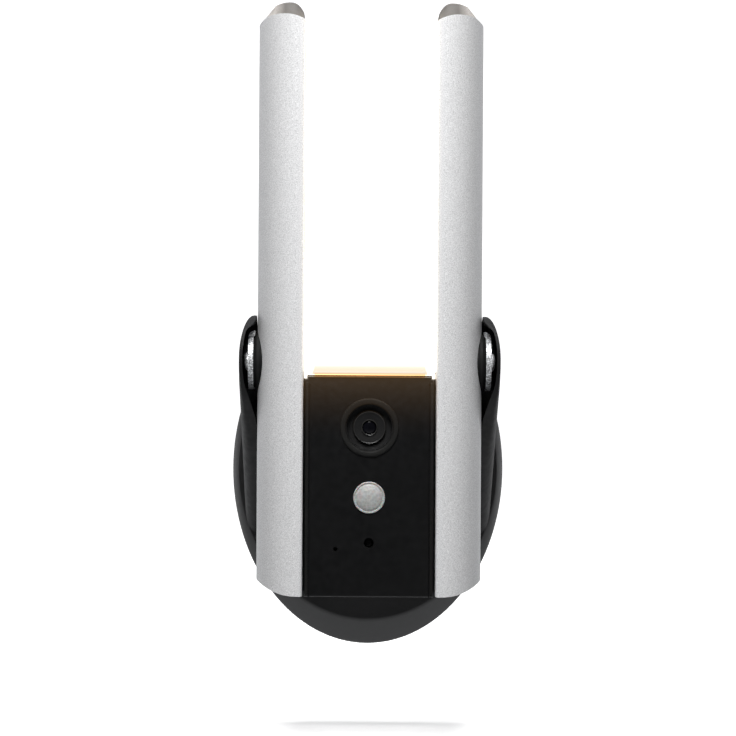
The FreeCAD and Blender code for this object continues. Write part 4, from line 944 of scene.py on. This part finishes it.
def arm_height(point):
    """X of the arm's outer skin: domed at the top, rolled over along the lower edge."""
    low_angle = tangent(ROOT_LOW, 1, EAR)
    top_angle = tangent(ROOT_TOP, -1, EAR)
    offset = point - EAR_MIDDLE
    low_side = Vector((math.cos(low_angle), math.sin(low_angle)))
    top_side = Vector((math.cos(top_angle), math.sin(top_angle)))
    turn = math.atan2(offset.y, offset.x)
    if offset.x > 0:
        to_top = EAR - offset.y
    elif turn > 0 and turn < top_angle:
        to_top = EAR - offset.length
    else:
        to_top = EAR - offset.dot(top_side)
    upper = (ARM_OUT - ARM_IN - 1.0) * rolled(clamp(1 - to_top / DOME_WIDTH))
    reach = 0.5 + 5.1 * clamp((ROLL_TOP - point.y) / ROLL_TOP)
    to_low = EAR - offset.dot(low_side)
    if offset.x > 0 and turn > low_angle:
        to_low = EAR - offset.length
        reach *= min(1.0, 1.3 * math.cos(max(0.0, turn)))
    lower = reach * rolled(clamp(1 - to_low / ROLL_WIDTH))
    return max(ARM_IN + 1.0, ARM_OUT - upper - lower)


def border(rows):
    """The points round the edge of a grid of vertices, in order."""
    return ([row[0] for row in rows] + rows[-1][1:-1] + [row[-1] for row in reversed(rows)]
            + rows[0][-2:0:-1])


def arm_opening(outline):
    """How far the rim is cut back at each point: 0 leaves it whole, 1 leaves only the skin."""
    weights = []
    for row in outline:
        low, top = row[0], row[-1]
        below = clamp((low.y - EAR_MIDDLE.y + 27.0) / 17.0) if low.x > 56 else 0.0
        above = clamp((EAR_MIDDLE.y + 18.0 - top.y) / 4.5) if top.x > EAR_MIDDLE.x - 6 else 0.0
        weights.append([below + (above - below) * j / (len(row) - 1) for j in range(len(row))])
    return weights


def arm(side, sign):
    """Hollow arm whose ear hoods the pivot; open towards the lamp and to the front."""
    rim = 2.0
    skin_depth = 1.2
    outline = arm_grid(0.0)
    weights = arm_opening(outline)
    hollow = [[a.lerp(b, 1 - 0.85 * w) for a, b, w in zip(first, second, share)]
              for first, second, share in zip(outline, arm_grid(rim), weights)]
    bm = bmesh.new()

    def surface(rows, depth):
        """Vertices at a depth under the arm's outer skin."""
        return [[bm.verts.new(at(sign * max(ARM_IN + 0.4, arm_height(p) - depth), p.x, p.y))
                 for p in row] for row in rows]

    def edge(rows):
        """Border vertices on the inner plane, or under the skin where the front is open."""
        result = []
        for p, w in zip(border(rows), border(weights)):
            x = ARM_IN + (arm_height(p) - skin_depth - ARM_IN) * w
            result.append(bm.verts.new(at(sign * x, p.x, p.y)))
        return result

    outer = surface(outline, 0.0)
    inner = surface(hollow, skin_depth)
    for table in (outer, inner):
        for first, second in zip(table, table[1:]):
            for n in range(len(first) - 1):
                bm.faces.new((first[n], first[n + 1], second[n + 1], second[n]))
    loops = [border(outer), edge(outline), edge(hollow), border(inner)]
    for first, second in zip(loops, loops[1:]):
        for n in range(len(first)):
            m = (n + 1) % len(first)
            bm.faces.new((first[n], first[m], second[m], second[n]))
    finish_mesh(f"{side}_arm_shell", bm, "black_metal", BASE, (f"{side}_arm",), 32.0)


def steel_tab(side, sign):
    """Zinc-plated strip with a riveted round nose, its upper edge bent towards the lamp."""
    low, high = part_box("right_pivot_tab")
    near, far = high.x / MM - TAB_THICK, high.x / MM
    radius = (high.z - low.z) / MM / 2
    bend_up = EAR_MIDDLE.y + 10.4
    bend_angle = math.asin((bend_up - EAR_MIDDLE.y) / radius)
    tail_out = -high.y / MM
    points = [(tail_out, EAR_MIDDLE.y - radius)]
    for n in range(31):
        angle = -math.pi / 2 + (bend_angle + math.pi / 2) * n / 30
        points.append((EAR_MIDDLE.x + radius * math.cos(angle),
                       EAR_MIDDLE.y + radius * math.sin(angle)))
    for n in range(13):
        angle = math.pi - bend_angle + (bend_angle - 0.17) * n / 12
        points.append((EAR_MIDDLE.x + radius * math.cos(angle),
                       EAR_MIDDLE.y + radius * math.sin(angle)))
    points.append((tail_out, EAR_MIDDLE.y + 2.0))
    bm = bmesh.new()
    rings = [[at(sign * x, out, z) for out, z in points] for x in (near, far)]
    add_rings(bm, rings, caps=(True, True))
    half = radius * math.cos(bend_angle)
    centre_x = near - 0.6
    flange = []
    for n in range(11):
        angle = math.pi / 2 * n / 10
        flange.append([at(sign * (centre_x + r * math.cos(angle)), EAR_MIDDLE.x + out,
                          bend_up - 0.02 + r * math.sin(angle))
                       for r, out in ((near - centre_x, -half), (far - centre_x, -half),
                                      (far - centre_x, half), (near - centre_x, half))])
    add_rings(bm, flange, caps=(True, True))
    piece = finish_mesh(f"{side}_steel_tab", bm, "zinc_steel", BASE, (f"{side}_pivot_tab",), 30.0)
    soften(piece, 0.2)
    rivet = (radius - SCREW_HEAD - 0.3) / 2
    centre = Vector((0.0, PIVOT.y - (radius - rivet - 0.1) * MM, PIVOT.z))
    dome = [(rivet, far - 0.3), (rivet, far + 0.3)]
    dome += [(rivet * math.cos(math.radians(a)), far + 0.3 + 1.4 * math.sin(math.radians(a)))
             for a in range(15, 90, 15)] + [(0.0, far + 1.7)]
    skin(f"{side}_tab_rivet", turned(dome, centre, "X" if sign > 0 else "-X", 48), "zinc_steel",
         BASE, caps=(True, False), sharp=50.0)


def pivot_screw(side, sign):
    """Domed cross-head screw, with its head outside the steel tab."""
    centre = Vector((0.0, PIVOT.y, PIVOT.z))
    head_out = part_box("pivot_screws")[1].x / MM
    head_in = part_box("right_pivot_tab")[1].x / MM + 0.1
    tall = head_out - head_in
    dome = [(3.0, 36.0), (3.0, head_in), (SCREW_HEAD, head_in), (SCREW_HEAD, head_in + 0.4)]
    dome += [(SCREW_HEAD * math.cos(math.radians(a)),
              head_in + 0.4 + (tall - 0.4) * math.sin(math.radians(a))) for a in range(12, 84, 9)]
    dome += [(0.0, head_out)]
    replaced = ("pivot_screws",) if sign > 0 else ()
    screw = skin(f"{side}_pivot_screw", turned_on_pivot(dome, sign, 64), "screw_steel", HEAD,
                 replaced, caps=(True, False), sharp=50.0)
    for high, deep in ((2.4, 0.5), (0.5, 2.4)):
        slot = []
        for out in (head_out - 1.0, head_out + 2.0):
            slot.append([centre + Vector((sign * out * MM, a * deep * MM, b * high * MM))
                         for a, b in ((-1, -1), (1, -1), (1, 1), (-1, 1))])
        cut_away(screw, slot)


def pivot_washer(side, sign):
    """Black friction washer between lamp and tab, with a generous chamfer."""
    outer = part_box("right_pivot_tab")[1].x / MM - TAB_THICK
    start = middle("right_pivot_tab").x / MM - 4.2
    washer = [(3.1, start), (12.2, start), (12.5, start + 0.4), (12.5, outer - 1.5),
              (11.9, outer - 0.7), (11.2, outer - 0.4), (11.1, outer), (3.1, outer)]
    replaced = ("pivot_spacers",) if sign > 0 else ()
    skin(f"{side}_pivot_washer", turned_on_pivot(washer, sign, 96), "black_rubber", HEAD,
         replaced, loop=True)


for side_name, side_sign in SIDES.items():
    arm(side_name, side_sign)
    steel_tab(side_name, side_sign)
    pivot_screw(side_name, side_sign)
    pivot_washer(side_name, side_sign)


# ---------------------------------------------------------------- studio

FLOOR_UP = -0.116


def paper_bowl():
    """Pale seamless floor that curves up all round; its glow doesn't light the object, and is painted dimmer near
    the object as a painted shade that deepens the shadow cast there.
    """
    bm = bmesh.new()
    flat, bend, top = 2.4, 0.8, 4.0
    profile = [(0.0, 0.0), (0.3, 0.0), (flat, 0.0)]
    for n in range(1, 13):
        angle = math.radians(90 * n / 12)
        profile.append((flat + bend * math.sin(angle), bend * (1 - math.cos(angle))))
    profile.append((flat + bend, top))
    rings = []
    for radius, up in profile:
        rings.append([Vector((radius * math.cos(2 * math.pi * n / 96),
                              radius * math.sin(2 * math.pi * n / 96), FLOOR_UP + up))
                      for n in range(96 if radius > 0 else 1)])
    add_rings(bm, rings)
    mesh = bpy.data.meshes.new("studio_floor")
    bm.to_mesh(mesh)
    bm.free()
    mesh.shade_smooth()
    floor = bpy.data.objects.new("studio_floor", mesh)
    bpy.context.scene.collection.objects.link(floor)
    paper = Shader("studio_paper", (0.93, 0.93, 0.93), 0.9)
    paper.tint(paper.noise(6.0), 0.01)
    paper.set(Emission_Color=(1.0, 1.0, 1.0, 1.0))
    length = paper.add("ShaderNodeVectorMath", operation="LENGTH")
    paper.link(paper.place, length.inputs["Vector"])
    # The glow is dimmer within half a metre of the middle, least within 0.16 m: a painted shade round the object.
    near, far, painted_shade_glow, bright = 0.16, 0.5, 0.55, 1.1
    glow = paper.spread(length.outputs["Value"], (near, far), (painted_shade_glow, bright))
    paper.link(glow, paper.surface.inputs["Emission Strength"])
    mesh.materials.append(paper.material)
    floor.visible_diffuse = False
    floor.visible_glossy = False


def soft_light(name, place, size, power, target):
    """A square area light that points at the object."""
    light = bpy.data.lights.new(name, "AREA")
    light.size = size
    light.energy = power
    lamp = bpy.data.objects.new(name, light)
    lamp.location = place
    lamp.rotation_euler = (target - Vector(place)).to_track_quat("-Z", "Y").to_euler()
    bpy.context.scene.collection.objects.link(lamp)


def surroundings():
    """Studio surroundings: bright behind the object and below it, dark elsewhere."""
    world = bpy.data.worlds.new("studio_world")
    world.use_nodes = True
    tree = world.node_tree
    background = tree.nodes["Background"]
    background.inputs["Color"].default_value = (0.97, 0.98, 1.0, 1.0)
    place = tree.nodes.new("ShaderNodeTexCoord")
    axes = tree.nodes.new("ShaderNodeSeparateXYZ")
    tree.links.new(place.outputs["Generated"], axes.inputs["Vector"])
    brightest = tree.nodes.new("ShaderNodeMath")
    brightest.operation = "MAXIMUM"
    behind = ("Y", (0.34, 0.90, 0.03, 1.2))
    below = ("Z", (-0.05, -0.75, 0.0, 0.75))
    for socket, (axis, limits) in zip(brightest.inputs, (behind, below)):
        level = tree.nodes.new("ShaderNodeMapRange")
        level.interpolation_type = "SMOOTHSTEP"
        set_range(level, limits)
        tree.links.new(axes.outputs[axis], level.inputs["Value"])
        tree.links.new(level.outputs["Result"], socket)
    tree.links.new(brightest.outputs["Value"], background.inputs["Strength"])
    bpy.context.scene.world = world


def studio():
    """Paper floor, soft lights from above and in front, and plain surroundings."""
    paper_bowl()
    surroundings()
    target = Vector((0.0, -0.06, 0.06))
    soft_light("key", (-0.05, -0.75, 0.85), size=0.4, power=13.2, target=target)
    soft_light("top", (0.0, -0.03, 0.8), size=0.4, power=6.0, target=target)
    bpy.context.scene.view_settings.view_transform = "Standard"


def camera():
    """Nearly frontal camera, a little below the lamp's middle and rolled very slightly."""
    distance = 1.2
    view_width = 0.3091
    side_step = -0.0074
    aim = -0.0008
    eye_height = 0.046
    roll = math.radians(0.35)
    yaw = math.atan2(aim - side_step, distance)
    data = bpy.data.cameras.new("studio_camera")
    data.sensor_width = 36.0
    data.lens = data.sensor_width * distance / view_width
    view = bpy.data.objects.new("studio_camera", data)
    view.matrix_world = (Matrix.Translation((side_step, cad_box[0][1] - distance, eye_height))
                         @ Matrix.Rotation(-yaw, 4, "Z")
                         @ Matrix.Rotation(math.radians(90), 4, "X")
                         @ Matrix.Rotation(roll, 4, "Z"))
    bpy.context.scene.collection.objects.link(view)
    bpy.context.scene.camera = view


studio()
camera()
